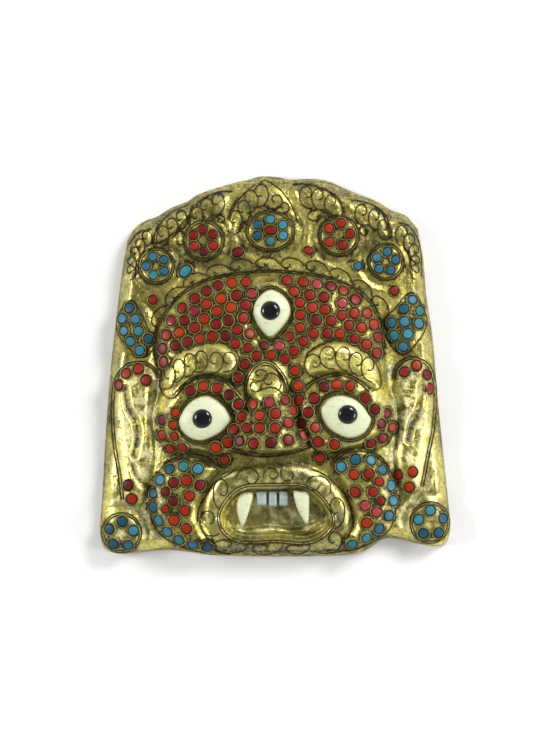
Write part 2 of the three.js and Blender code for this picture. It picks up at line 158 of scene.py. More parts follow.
# %% [markdown]
# ## Hammered forms
#
# Repousse raises a form from behind with domed punches and sharpens its foot from the front. Each form below is one
# such stroke of work: a mound, a boss, a ridge or a field with a smooth outline, in millimetres.
# They could be sculpted by hand, but as functions they stay exact, and they match the solids in the frame.

# %% Kinds of form


def reach(x, y, at, size, turn=0.0, square=2.0):
    """How far out of an ellipse's centre a point lies: 1 is on its edge."""
    angle = math.radians(turn)
    dx, dy = x - at[0], y - at[1]
    first = np.abs((dx * math.cos(angle) + dy * math.sin(angle)) / size[0])
    second = np.abs((dy * math.cos(angle) - dx * math.sin(angle)) / size[1])
    return (first**square + second**square) ** (1 / square)


def mound(at, size, rise, turn=0.0, square=2.0, fullness=1.0):
    """A round swelling. A low fullness makes it a tight dome with a steep foot."""
    return lambda x, y: rise * np.clip(1 - reach(x, y, at, size, turn, square) ** 2, 0, None) ** fullness


def boss(at, size, rise, moat=0.0):
    """A flat-topped boss with a chased moat round its foot."""

    def form(x, y):
        out = reach(x, y, at, size)
        return rise * ease((1 - out) / 0.3) - moat * np.exp(-(((out - 1.2) / 0.14) ** 2))

    return form


def only_near(path, margin, x, y, work):
    """Does the work only on the points near a path, and gives 0 elsewhere."""
    low, high = path.min(axis=0) - margin, path.max(axis=0) + margin
    near = (x > low[0]) & (x < high[0]) & (y > low[1]) & (y < high[1])
    out = np.zeros(x.shape)
    if near.any():
        out[near] = work(x[near], y[near])
    return out


def ridge(points, width, rise):
    """A round ridge along a smooth path. A negative rise makes it a groove."""
    path = smooth_path(points, 6 * len(points))

    def work(x, y):
        return rise * np.clip(1 - (distance_to(path, x, y) / width) ** 2, 0, None) ** 1.2

    return lambda x, y: only_near(path, width, x, y, work)


def field(points, rise, edge):
    """A cushion with a smooth outline, steep at its foot. A sunk field has a soft edge instead."""
    path = smooth_path(points, 6 * len(points) + 6, closed=True)

    def work(x, y):
        share = np.minimum(distance_to(path, x, y) / edge, 1)
        profile = share * (2 - share) if rise > 0 else ease(share)
        return np.where(is_inside(path, x, y), rise * profile, 0)

    return lambda x, y: only_near(path, 0, x, y, work)


# %% The nose
NOSE = {"middle": -3, "bridge": -14, "foot": -56, "spread": 0.008, "half_top": 11, "half_foot": 27, "rise": 19}


def nose(x, y):
    """Narrow at the bridge, broad at the wings and cut off sharply above the lip."""
    off = x - NOSE["middle"]
    foot = NOSE["foot"] + NOSE["spread"] * off * off
    down = np.clip((NOSE["bridge"] - y) / (NOSE["bridge"] - NOSE["foot"]), 0, 1)
    half = NOSE["half_top"] + (NOSE["half_foot"] - NOSE["half_top"]) * down**1.3
    across = np.minimum(np.abs(off) / half, 1)
    lift = (0.25 + 0.75 * down**0.8) * ease((NOSE["bridge"] + 6 - y) / 14)
    return NOSE["rise"] * lift * (1 - across**3) ** 0.8 * ease((y - foot) / 4)


# %% [markdown]
# ## The face, form by form
#
# The head stands out of the flat sheet as one mass. On it sit the forehead cushion, the brows, the eyeballs, the nose,
# the cheeks and the lips; the ears, temples, crown leaves and jewel bosses lie round it.

# %% Outlines of the fields
LIP_OUTER = [
    (-47, -93), (-44, -79), (-34, -67), (-14, -61.5), (10, -60.5), (27, -65), (41, -76),
    (49, -93), (46, -108), (28, -117), (0, -118.5), (-28, -117), (-44, -108),
]
MOUTH_RIM = [
    (-35.5, -94), (-29, -82), (-19, -75.5), (0, -74.5), (17, -75), (29, -82),
    (37, -96), (32, -106), (20, -111.5), (0, -110.5), (-20, -111), (-32, -105),
]
FOREHEAD = [
    (-74, 8), (-73.5, 26), (-62, 43), (-40, 55.5), (-10, 60), (15, 59.3), (38, 55), (57, 43.5), (67, 27),
    (70, 4), (72, -22), (67, -42), (50, -52), (0, -58), (-50, -54), (-68, -46), (-74, -24),
]
BROW_LEFT = [
    (-22, 4), (-28, 12.5), (-42, 16), (-57, 11.5), (-68, 1.5), (-72.5, -9),
    (-69.5, -18.5), (-63.5, -20), (-58, -12.5), (-48, -6.5), (-37, -6), (-27, -7),
]
BROW_RIGHT = [
    (17, 2), (24, 11), (38, 16), (52, 13), (63, 5), (68, -6),
    (66, -14.5), (60.5, -13.5), (51, -7.5), (40, -4.5), (28, -5.5), (20, -6),
]
CHEEK_LEFT = [
    (-35, -64), (-44, -57.5), (-58, -56), (-70, -62), (-78.5, -76), (-79.5, -92),
    (-73, -106), (-58, -115), (-42, -116.5), (-40, -108), (-47, -93), (-43, -77),
]
CHEEK_RIGHT = [
    (36, -63), (41, -55), (53, -52), (66, -57), (75, -70), (78, -86),
    (73, -102), (61, -112), (46, -116), (43, -110), (49, -95), (44, -78),
]
EAR_LEFT = [
    (-73, -8), (-79, 1), (-87, 3.5), (-97, -2), (-102.5, -14), (-102.5, -36),
    (-99.5, -60), (-96.5, -84), (-84, -86), (-78, -72), (-76, -45), (-75, -22),
]
EAR_RIGHT = [
    (75, -6), (79, 3), (88, 6.5), (97, 1), (101.5, -12), (100.5, -36),
    (97, -56), (92.5, -78), (79, -78), (75, -60), (76, -40), (74, -20),
]
MEDALLIONS = {
    "crown_centre": ((-3, 85.5), (17, 14), 5),
    "crown_inner_left": ((-45, 79.5), (14, 14), 5),
    "crown_inner_right": ((40.3, 82.5), (14, 14), 5),
    "crown_outer_left": ((-75, 63.4), (12.5, 12.5), 4.5),
    "crown_outer_right": ((70, 66), (12.5, 12.5), 4.5),
    "corner_left": ((-97, -105.2), (14, 14), 4),
    "corner_right": ((98, -98.7), (14, 14.5), 4),
}
LEAVES = [
    [(-93, 57), (-94, 70), (-91.5, 79), (-87, 84.5), (-80, 87), (-77.5, 81), (-79.5, 73), (-84, 66), (-88, 58)],
    [(-76.5, 77), (-76, 86), (-72, 93), (-65, 98.5), (-55, 102.5), (-54.5, 96), (-57, 91), (-62, 85), (-69, 79)],
    [(-54.5, 87), (-54, 95), (-50, 103), (-41, 109), (-31, 110.5), (-29.5, 104), (-32, 98), (-39, 95), (-46, 90)],
    [
        (-30, 86), (-29, 95), (-24, 104), (-15, 113.5), (-6, 118.3), (2, 114), (10, 104),
        (15.5, 92), (9, 95), (2, 99), (-6, 99.5), (-13, 96.5), (-20, 91), (-25, 85),
    ],
    [(12, 115.5), (22, 115.5), (33, 111), (40, 105.5), (43.5, 96), (36, 94.5), (28, 99.5), (20, 100), (14.5, 105)],
    [(48, 105), (58, 104.5), (66, 98.5), (70.5, 90), (71.5, 82), (65, 82.5), (57, 88), (51, 92), (48.5, 98)],
    [(77, 91), (84, 89.5), (90, 82), (92.5, 72), (93, 57), (87, 55), (82.5, 62), (79.5, 70), (75.5, 77), (74, 84)],
]

# %% All the forms
EAR_FOLDS = [
    [(-95, -15), (-93, -26), (-88.5, -34), (-86.6, -43), (-89, -56)],
    [(93, -12), (92, -25), (86.5, -36), (84, -46)],
    [(-90, -63), (-86, -72), (-78, -77)],
]
forms = [
    mound((-3, -34), (79, 95), 9, square=3, fullness=0.7),
    field(FOREHEAD, 6, 9),
    mound((-3, 14), (72, 50), 5, square=2.3, fullness=0.8),
    field(BROW_LEFT, 5, 6),
    field(BROW_RIGHT, 5, 6),
    mound((-42, -14), (24, 8), -3),
    mound((41, -13), (24, 8), -3),
    mound((-46, -33), (31, 26), 11, square=2.3, fullness=0.6),
    mound((46, -31), (31, 26), 11, square=2.3, fullness=0.6),
    mound((-2.8, 33), (16, 18), 2.5, fullness=0.7),
    mound((-4.8, -9), (13.5, 13.5), 5, square=3, fullness=0.5),
    nose,
    field(CHEEK_LEFT, 8, 9),
    field(CHEEK_RIGHT, 8, 9),
    field(LIP_OUTER, 4, 6),
    field(MOUTH_RIM, -12, 5),
    ridge([(-33, -97), (-26, -103), (-18, -105.5), (-3, -104), (10, -105.5), (22, -103), (34, -96)], 4, 4),
    field(EAR_LEFT, 4.5, 8),
    field(EAR_RIGHT, 4.5, 8),
    *(ridge(line, 3.5, -2.5) for line in EAR_FOLDS[:2]),
    ridge(EAR_FOLDS[2], 3, -2),
    mound((-104, -75), (4.5, 9), 2.5, turn=12),
    mound((103.5, -70), (4.5, 10), 2.5, turn=-14),
    mound((-88, 24), (13, 17), 3, fullness=0.6),
    mound((82, 27), (13, 18), 3, fullness=0.6),
]
forms += [boss(at, size, rise, 1) for at, size, rise in MEDALLIONS.values()]
forms += [field(outline, 1.4, 3.5) for outline in LEAVES]
print(len(forms), "hammered forms")

# %% [markdown]
# ## Height of the sheet
#
# The sheet rolls up from the rim in a quarter round, crowns slowly towards the middle and carries the forms.
# The eyes are bedded on level seats, as a setter would flatten them before fitting the bone.

# %% Height and slope
WALL_HEIGHT, WALL_RADIUS = 13, 8
SWELL_RISE, SWELL_HALF = 7, (108, 120)
SHEET_THICK = 1.2
EYE_SEATS = {
    "third": ((-2.9, 33.5), (13.5, 17.5), 34, (0, -0.05)),
    "left": ((-44.3, -32.7), (18, 16), 38, (0.06, 0.04)),
    "right": ((44.3, -31.5), (18, 16), 38, (-0.06, 0.04)),
}


def height(x, y):
    """Height of the sheet's outer face above the rim, in mm."""
    x, y = np.asarray(x, float), np.asarray(y, float)
    inward = distance_to(rim, x, y)
    roll = 1 - np.minimum(inward / WALL_RADIUS, 1)
    wall = WALL_HEIGHT * np.sqrt(1 - roll * roll)
    flat = [np.minimum(np.abs(value / half), 1) ** 4 for value, half in zip((x, y), SWELL_HALF)]
    relief = SWELL_RISE * (1 - flat[0]) * (1 - flat[1]) + sum(form(x, y) for form in forms)
    level = wall + relief * ease(inward / WALL_RADIUS)
    for at, size, middle, slope in EYE_SEATS.values():
        plane = middle + slope[0] * (x - at[0]) + slope[1] * (y - at[1])
        level = level + (plane - level) * ease((1.25 - reach(x, y, at, size)) / 0.2)
    return level


def slopes(x, y, step=0.5):
    x, y = np.asarray(x, float), np.asarray(y, float)
    across = (height(x + step, y) - height(x - step, y)) / (2 * step)
    up = (height(x, y + step) - height(x, y - step)) / (2 * step)
    return across, up


print("nose tip at", round(float(height(-3.0, -50.0)), 1), "mm")

# %% [markdown]
# ## Small helpers
#
# Every finished piece is one mesh at the origin, rides on the body called root and takes its finish.
# These helpers keep that in one place.

# %% Helpers for pieces
random.seed(7)


def show(obj, slot, material, replaced=()):
    """Finishes a piece: its material, its body and the solids that it stands for. The slot is not used."""
    obj.data.materials.clear()
    obj.data.materials.append(material)
    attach(obj, "root")
    if replaced:
        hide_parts(*replaced)
    return obj


def mesh_piece(name, bm):
    """Turns a bmesh into an object with smooth faces."""
    mesh = bpy.data.meshes.new(name)
    bm.to_mesh(mesh)
    bm.free()
    mesh.polygons.foreach_set("use_smooth", np.ones(len(mesh.polygons), bool))
    obj = bpy.data.objects.new(name, mesh)
    bpy.context.scene.collection.objects.link(obj)
    return obj


def paint(piece, name, values):
    """Gives each vertex of a piece a value that its material reads."""
    piece.data.attributes.new(name, "FLOAT", "POINT").data.foreach_set("value", values)


def turned(profile, segments):
    """A bmesh turned about Z from [radius, height] pairs, closed where the profile meets the axis."""
    bm = bmesh.new()
    verts = [bm.verts.new((radius, 0, z)) for radius, z in profile]
    edges = [bm.edges.new(pair) for pair in zip(verts[:-1], verts[1:])]
    bmesh.ops.spin(
        bm, geom=verts + edges, cent=(0, 0, 0), axis=(0, 0, 1), dvec=(0, 0, 0),
        angle=math.tau, steps=segments, use_merge=True, use_duplicate=False,
    )
    bmesh.ops.remove_doubles(bm, verts=bm.verts, dist=1e-5)
    bmesh.ops.recalc_face_normals(bm, faces=bm.faces)
    return bm


def linear(code):
    """An sRGB hex colour as the linear values that shaders use."""
    parts = [int(code[i : i + 2], 16) / 255 for i in (1, 3, 5)]
    return tuple(p / 12.92 if p <= 0.04045 else ((p + 0.055) / 1.055) ** 2.4 for p in parts) + (1.0,)


def node(tree, kind, links=(), **settings):
    """Adds a shader node. Settings whose names match a socket go there, and links are (socket, source) pairs."""
    made = tree.nodes.new(kind)
    for name, value in settings.items():
        plain = name.replace("_", " ")
        if hasattr(made, name):
            setattr(made, name, value)
        else:
            made.inputs[plain].default_value = value
    for socket, source in links:
        tree.links.new(source, made.inputs[socket])
    return made


def new_material(name):
    """An empty material with a principled shader wired to its output."""
    material = bpy.data.materials.new(name)
    material.use_nodes = True
    tree = material.node_tree
    return material, tree, tree.nodes["Principled BSDF"]


# %% [markdown]
# ## Brass
#
# The sheet is yellow brass, hammered and chased, then handled for years. Raised metal is rubbed pale and bright,
# and pale patches also paint in highlights, and on the ears light. Hollows, the feet of wires and the beds of stones
# are darkened with dark olive dirt, old polish and painted shade, and the folds of the ears with painted shade. Brass
# is a metal, so it has no colour of its own under the reflection: the base colour tints what it mirrors, and dirt is
# what is not metal. The dirt and painted shade are drawn from an attribute that the sheet carries, so they follow the
# work and not the camera.

# %% Brass material
BRASS_POLISHED = "#efe278"
BRASS_OLIVE = "#8f8748"
# The pale colour is rubbed wear, and it also paints in highlights and, on the ears, light.
BRASS_PALE = "#f0ebb8"
# The dark colour below stands for dirt and for painted shade in hollows, at wire feet and round stones.
DIRT_AND_SHADE = "#271f0a"


def brass(name, patch_mm, dirt_and_shade_floor, dirt_and_shade_gain, rough, hammered=1.0):
    """Hammered brass. Patches are the stains' size, and dirt and painted shade run from the floor up with the
    attribute that the sheet carries.
    """
    material, tree, shader = new_material(name)
    place = node(tree, "ShaderNodeTexCoord").outputs["Object"]

    def noise(size_mm, detail, roughness):
        return node(
            tree, "ShaderNodeTexNoise", [("Vector", place)], Scale=1 / (size_mm * MM), Detail=detail,
            Roughness=roughness,
        ).outputs["Fac"]

    def span(value, low, high, to_low=0.0, to_high=1.0):
        return node(
            tree, "ShaderNodeMapRange", [("Value", value)], From_Min=low, From_Max=high, To_Min=to_low, To_Max=to_high,
        ).outputs[0]

    def blend(factor, first, code):
        mix = node(tree, "ShaderNodeMix", [("Factor", factor)], data_type="RGBA")
        if isinstance(first, str):
            mix.inputs[6].default_value = linear(first)
        else:
            tree.links.new(first, mix.inputs[6])
        mix.inputs[7].default_value = linear(code)
        return mix.outputs[2]

    def combined(first, second, operation):
        return node(tree, "ShaderNodeMath", [(0, first), (1, second)], operation=operation).outputs[0]

    specks = noise(1.6, 4.0, 0.7)
    # Pale patches are rubbed wear and painted highlights; on the ears they also paint in light.
    wear_and_sheen_area = node(tree, "ShaderNodeAttribute", attribute_name="worn").outputs["Fac"]
    rubbed_and_lit = combined(span(noise(6, 5.0, 0.65), 0.42, 0.62), wear_and_sheen_area, "MULTIPLY")
    pale = combined(span(noise(9, 5.0, 0.6), 0.58, 0.70, 0.0, 0.6), rubbed_and_lit, "MAXIMUM")
    metal = blend(span(noise(patch_mm, 6.0, 0.7), 0.42, 0.62), BRASS_POLISHED, BRASS_OLIVE)
    metal = blend(pale, metal, BRASS_PALE)
    # This attribute holds dirt and painted shade: at wire feet, round collars and in hollows.
    grime = node(tree, "ShaderNodeAttribute", attribute_name="grime").outputs["Fac"]
    blotches = combined(span(noise(5, 3.0, 0.6), 0.3, 0.7, -0.2, 0.2), span(specks, 0.3, 0.7, -0.4, 0.4), "ADD")
    darker_by = combined(grime, blotches, "ADD")
    dirt_and_shade = span(darker_by, 0.0, 1.0, dirt_and_shade_floor, dirt_and_shade_gain)
    dull = combined(dirt_and_shade, pale, "MAXIMUM")
    tree.links.new(blend(dirt_and_shade, metal, DIRT_AND_SHADE), shader.inputs["Base Color"])
    tree.links.new(span(dirt_and_shade, 0, 1, 1.0, 0.5), shader.inputs["Metallic"])
    tree.links.new(span(dull, 0, 1, rough, 0.7), shader.inputs["Roughness"])
    normal = None
    for size_mm, depth_mm, strength in ((8, 0.45, 0.9), (3, 0.42, 0.9), (1.1, 0.2, 0.8)):
        bump = node(tree, "ShaderNodeBump", [("Height", noise(size_mm, 2.0, 0.5))],
                    Strength=strength, Distance=depth_mm * hammered * MM)
        if normal:
            tree.links.new(normal, bump.inputs["Normal"])
        normal = bump.outputs[0]
    tree.links.new(normal, shader.inputs["Normal"])
    return material


sheet_brass = brass("hammered brass", 26, 0.0, 1.0, 0.26)
bezel_brass = brass("bezel brass", 8, 0.4, 0.95, 0.36, 0.3)


def dark_material(name, codes, metallic, roughness):
    """Two dark tones in soft patches: the wire's tarnish and painted shade, or the painted shade under the stones."""
    material, tree, shader = new_material(name)
    place = node(tree, "ShaderNodeTexCoord").outputs["Object"]
    uneven = node(tree, "ShaderNodeTexNoise", [("Vector", place)], Scale=1 / (4 * MM), Detail=4.0).outputs["Fac"]
    ramp = node(tree, "ShaderNodeValToRGB", [("Fac", uneven)])
    for element, place_on_ramp, code in zip(ramp.color_ramp.elements, (0.4, 0.7), codes):
        element.position = place_on_ramp
        element.color = linear(code)
    tree.links.new(ramp.outputs[0], shader.inputs["Base Color"])
    shader.inputs["Metallic"].default_value = metallic
    shader.inputs["Roughness"].default_value = roughness
    return material


# The wire is darkened for tarnish and for painted shade along its sides.
dark_wire = dark_material("tarnished brass wire with painted shade", ("#2a210a", "#5f5224"), 0.7, 0.45)
# A dark disc under each stone paints the shade in the gap round it.
shade_disc_material = dark_material("painted shade under the stones", ("#150f06", "#33270f"), 0.0, 0.6)
print("brass:", [m.name for m in (sheet_brass, bezel_brass, dark_wire, shade_disc_material)])

# %% [markdown]
# ## Stones, bone and glass
#
# The reds are pressed glass and reconstituted coral, from orange to crimson, and a few are glittering pink glass.
# The blues are turquoise paste with paler and greener ones among them. Each stone carries its own tone as an
# attribute, so hundreds of stones share one material, and a second one marks its rim, which is darkened as painted
# shadow of the bezel. Bone is slightly translucent, so it gets some subsurface.

# %% Stone materials


def stone(name, colours, rough, mottle_mm, coat=0.0):
    """A set stone. The tone attribute picks its colour from the list, and a fine mottle breaks it up."""
    material, tree, shader = new_material(name)
    tone = node(tree, "ShaderNodeAttribute", attribute_name="tone").outputs["Fac"]
    ramp = node(tree, "ShaderNodeValToRGB", [("Fac", tone)])
    ramp.color_ramp.interpolation = "LINEAR"
    for _ in colours[2:]:
        ramp.color_ramp.elements.new(0.5)
    for index, (element, code) in enumerate(zip(ramp.color_ramp.elements, colours)):
        element.position = index / (len(colours) - 1)
        element.color = linear(code)
    place = node(tree, "ShaderNodeTexCoord").outputs["Object"]
    mottle = node(
        tree, "ShaderNodeTexNoise", [("Vector", place)], Scale=1 / (mottle_mm * MM), Detail=5.0, Roughness=0.65,
    ).outputs["Fac"]
    shade = node(tree, "ShaderNodeMapRange", [("Value", mottle)], From_Min=0.3, From_Max=0.7, To_Min=0.72, To_Max=1.18)
    # The rim attribute darkens each stone's edge: painted shadow of the bezel.
    rim_shade = node(tree, "ShaderNodeAttribute", attribute_name="rim").outputs["Fac"]
    darker_by = node(tree, "ShaderNodeMapRange", [("Value", rim_shade)], To_Min=1.0, To_Max=0.22)
    shade = node(tree, "ShaderNodeMath", [(0, shade.outputs[0]), (1, darker_by.outputs[0])], operation="MULTIPLY")
    colour = node(tree, "ShaderNodeVectorMath", [(0, ramp.outputs[0]), (1, shade.outputs[0])], operation="MULTIPLY")
    tree.links.new(colour.outputs[0], shader.inputs["Base Color"])
    gloss = node(tree, "ShaderNodeMapRange", [("Value", mottle)], To_Min=rough - 0.1, To_Max=rough + 0.15)
    tree.links.new(gloss.outputs[0], shader.inputs["Roughness"])
    waves = node(tree, "ShaderNodeBump", [("Height", mottle)], Strength=0.35, Distance=0.15 * MM)
    tree.links.new(waves.outputs[0], shader.inputs["Normal"])
    shader.inputs["Specular IOR Level"].default_value = 0.25
    shader.inputs["Coat Weight"].default_value = coat
    shader.inputs["Coat Roughness"].default_value = 0.12
    return material


red_stone = stone("coral red glass", ["#540b06", "#7c1605", "#8e2003", "#a23202"], 0.42, 1.8, coat=0.06)
pink_stone = stone("glittering pink glass", ["#7a1c20", "#a84244"], 0.25, 0.7, coat=0.3)
blue_stone = stone("turquoise paste", ["#1c4656", "#2b6176", "#3f7f92", "#306e70"], 0.42, 2.2, coat=0.06)
tooth_stone = stone("grey-blue tooth stone", ["#9cabaa", "#b2beba"], 0.34, 2.6, coat=0.2)


def bone_material():
    """Polished bone: off-white with a green cast, faint grain, old dirt in the scratches."""
    material, tree, shader = new_material("polished bone")
    place = node(tree, "ShaderNodeTexCoord").outputs["Object"]
    stretch = node(tree, "ShaderNodeMapping", [("Vector", place)])
    stretch.inputs["Scale"].default_value = (1.0, 3.0, 1.0)
    grain = node(
        tree, "ShaderNodeTexNoise", [("Vector", stretch.outputs[0])], Scale=1 / (5 * MM), Detail=6.0, Roughness=0.7,
    ).outputs["Fac"]
    ramp = node(tree, "ShaderNodeValToRGB", [("Fac", grain)])
    ramp.color_ramp.elements[0].position = 0.28
    ramp.color_ramp.elements[0].color = linear("#a9a87e")
    ramp.color_ramp.elements[1].position = 0.46
    ramp.color_ramp.elements[1].color = linear("#d5dab6")
    tree.links.new(ramp.outputs[0], shader.inputs["Base Color"])
    shader.inputs["Roughness"].default_value = 0.38
    shader.inputs["Subsurface Weight"].default_value = 0.15
    shader.inputs["Subsurface Radius"].default_value = (0.9, 0.7, 0.4)
    shader.inputs["Subsurface Scale"].default_value = 0.8 * MM
    bump = node(tree, "ShaderNodeBump", [("Height", grain)], Strength=0.3, Distance=0.15 * MM)
    tree.links.new(bump.outputs[0], shader.inputs["Normal"])
    return material


def glass_material():
    """Black glass, polished, with a soft unevenness from the mould."""
    material, tree, shader = new_material("black glass")
    place = node(tree, "ShaderNodeTexCoord").outputs["Object"]
    swirl = node(tree, "ShaderNodeTexNoise", [("Vector", place)], Scale=1 / (6 * MM), Detail=3.0).outputs["Fac"]
    tint = node(tree, "ShaderNodeValToRGB", [("Fac", swirl)])
    tint.color_ramp.elements[0].color = linear("#08090b")
    tint.color_ramp.elements[1].color = linear("#1b1d22")
    tree.links.new(tint.outputs[0], shader.inputs["Base Color"])
    shader.inputs["Roughness"].default_value = 0.06
    bump = node(tree, "ShaderNodeBump", [("Height", swirl)], Strength=0.3, Distance=0.2 * MM)
    tree.links.new(bump.outputs[0], shader.inputs["Normal"])
    return material


bone = bone_material()
black_glass = glass_material()
print("stones and bone ready")

# %% [markdown]
# ## Where the wires run
#
# Wire is soldered down: pairs of it fence the forehead, ears, cheeks, mouth and jewels, and
# short lengths are curled into C-scrolls that fill the crown, the head band, the brows and the lips.
# A scroll is a spiral: its radius shrinks while its angle turns. Laying scrolls along a path gives a whole border.

# %% Wire paths, seen from the front
WIRE_STEP = 0.7
PAIR_GAP = 1.5


def normals_2d(path):
    run = np.gradient(path, axis=0)
    run /= np.linalg.norm(run, axis=1, keepdims=True) + 1e-9
    return np.stack([-run[:, 1], run[:, 0]], axis=1)


def wire_line(points, closed=False, offset=0.0):
    rough = smooth_path(points, 40, closed)
    path = smooth_path(points, max(8, int(path_length(rough) / WIRE_STEP)), closed)
    return path + offset * normals_2d(path)


def wire_pair(points, closed=False, gap=PAIR_GAP):
    return [wire_line(points, closed, offset) for offset in (-gap / 2, gap / 2)]


def scroll(at, size, tail=0.0, hand=1, sweep=400, decay=2.0):
    """One C-scroll wound in to its hook. The tail is the angle where it starts, and the hand is its turn."""
    share = np.linspace(0, 1, 46)
    angle = np.radians(tail + hand * sweep * share)
    radius = np.exp(-decay * share)
    return np.stack([size[0] * radius * np.cos(angle), size[1] * radius * np.sin(angle)], axis=1) + np.array(at)


def scrolls(hooks, first, last, tail, hand, decay=1.5):
    """A run of scrolls round their hooks. Their sizes go evenly from the first to the last."""
    out = []
    for share, at in zip(np.linspace(0, 1, len(hooks)), hooks):
        size = [a + (b - a) * share for a, b in zip(first, last)]
        out.append(scroll(at, size, tail + random.uniform(-8, 8), hand, decay=decay))
    return out


def scrolls_along(points, count, size, hand, decay=2.0):
    """A running border of scrolls along a path, with their tails pointing forward."""
    path = smooth_path(points, 200)
    out = []
    for i in range(count):
        k = min(int(200 * (i + 0.5) / count), 199)
        run = path[k + 1] - path[k]
        forward = np.array(run) / np.linalg.norm(run)
        upright = np.array([-forward[1], forward[0]])
        flat = scroll((0, 0), size, 0, hand, decay=decay)
        out.append(path[k] + flat[:, :1] * forward + flat[:, 1:] * upright)
    return out


def oval(at, size, steps=12):
    return [(at[0] + size[0] * math.cos(math.tau * i / steps), at[1] + size[1] * math.sin(math.tau * i / steps))
            for i in range(steps)]


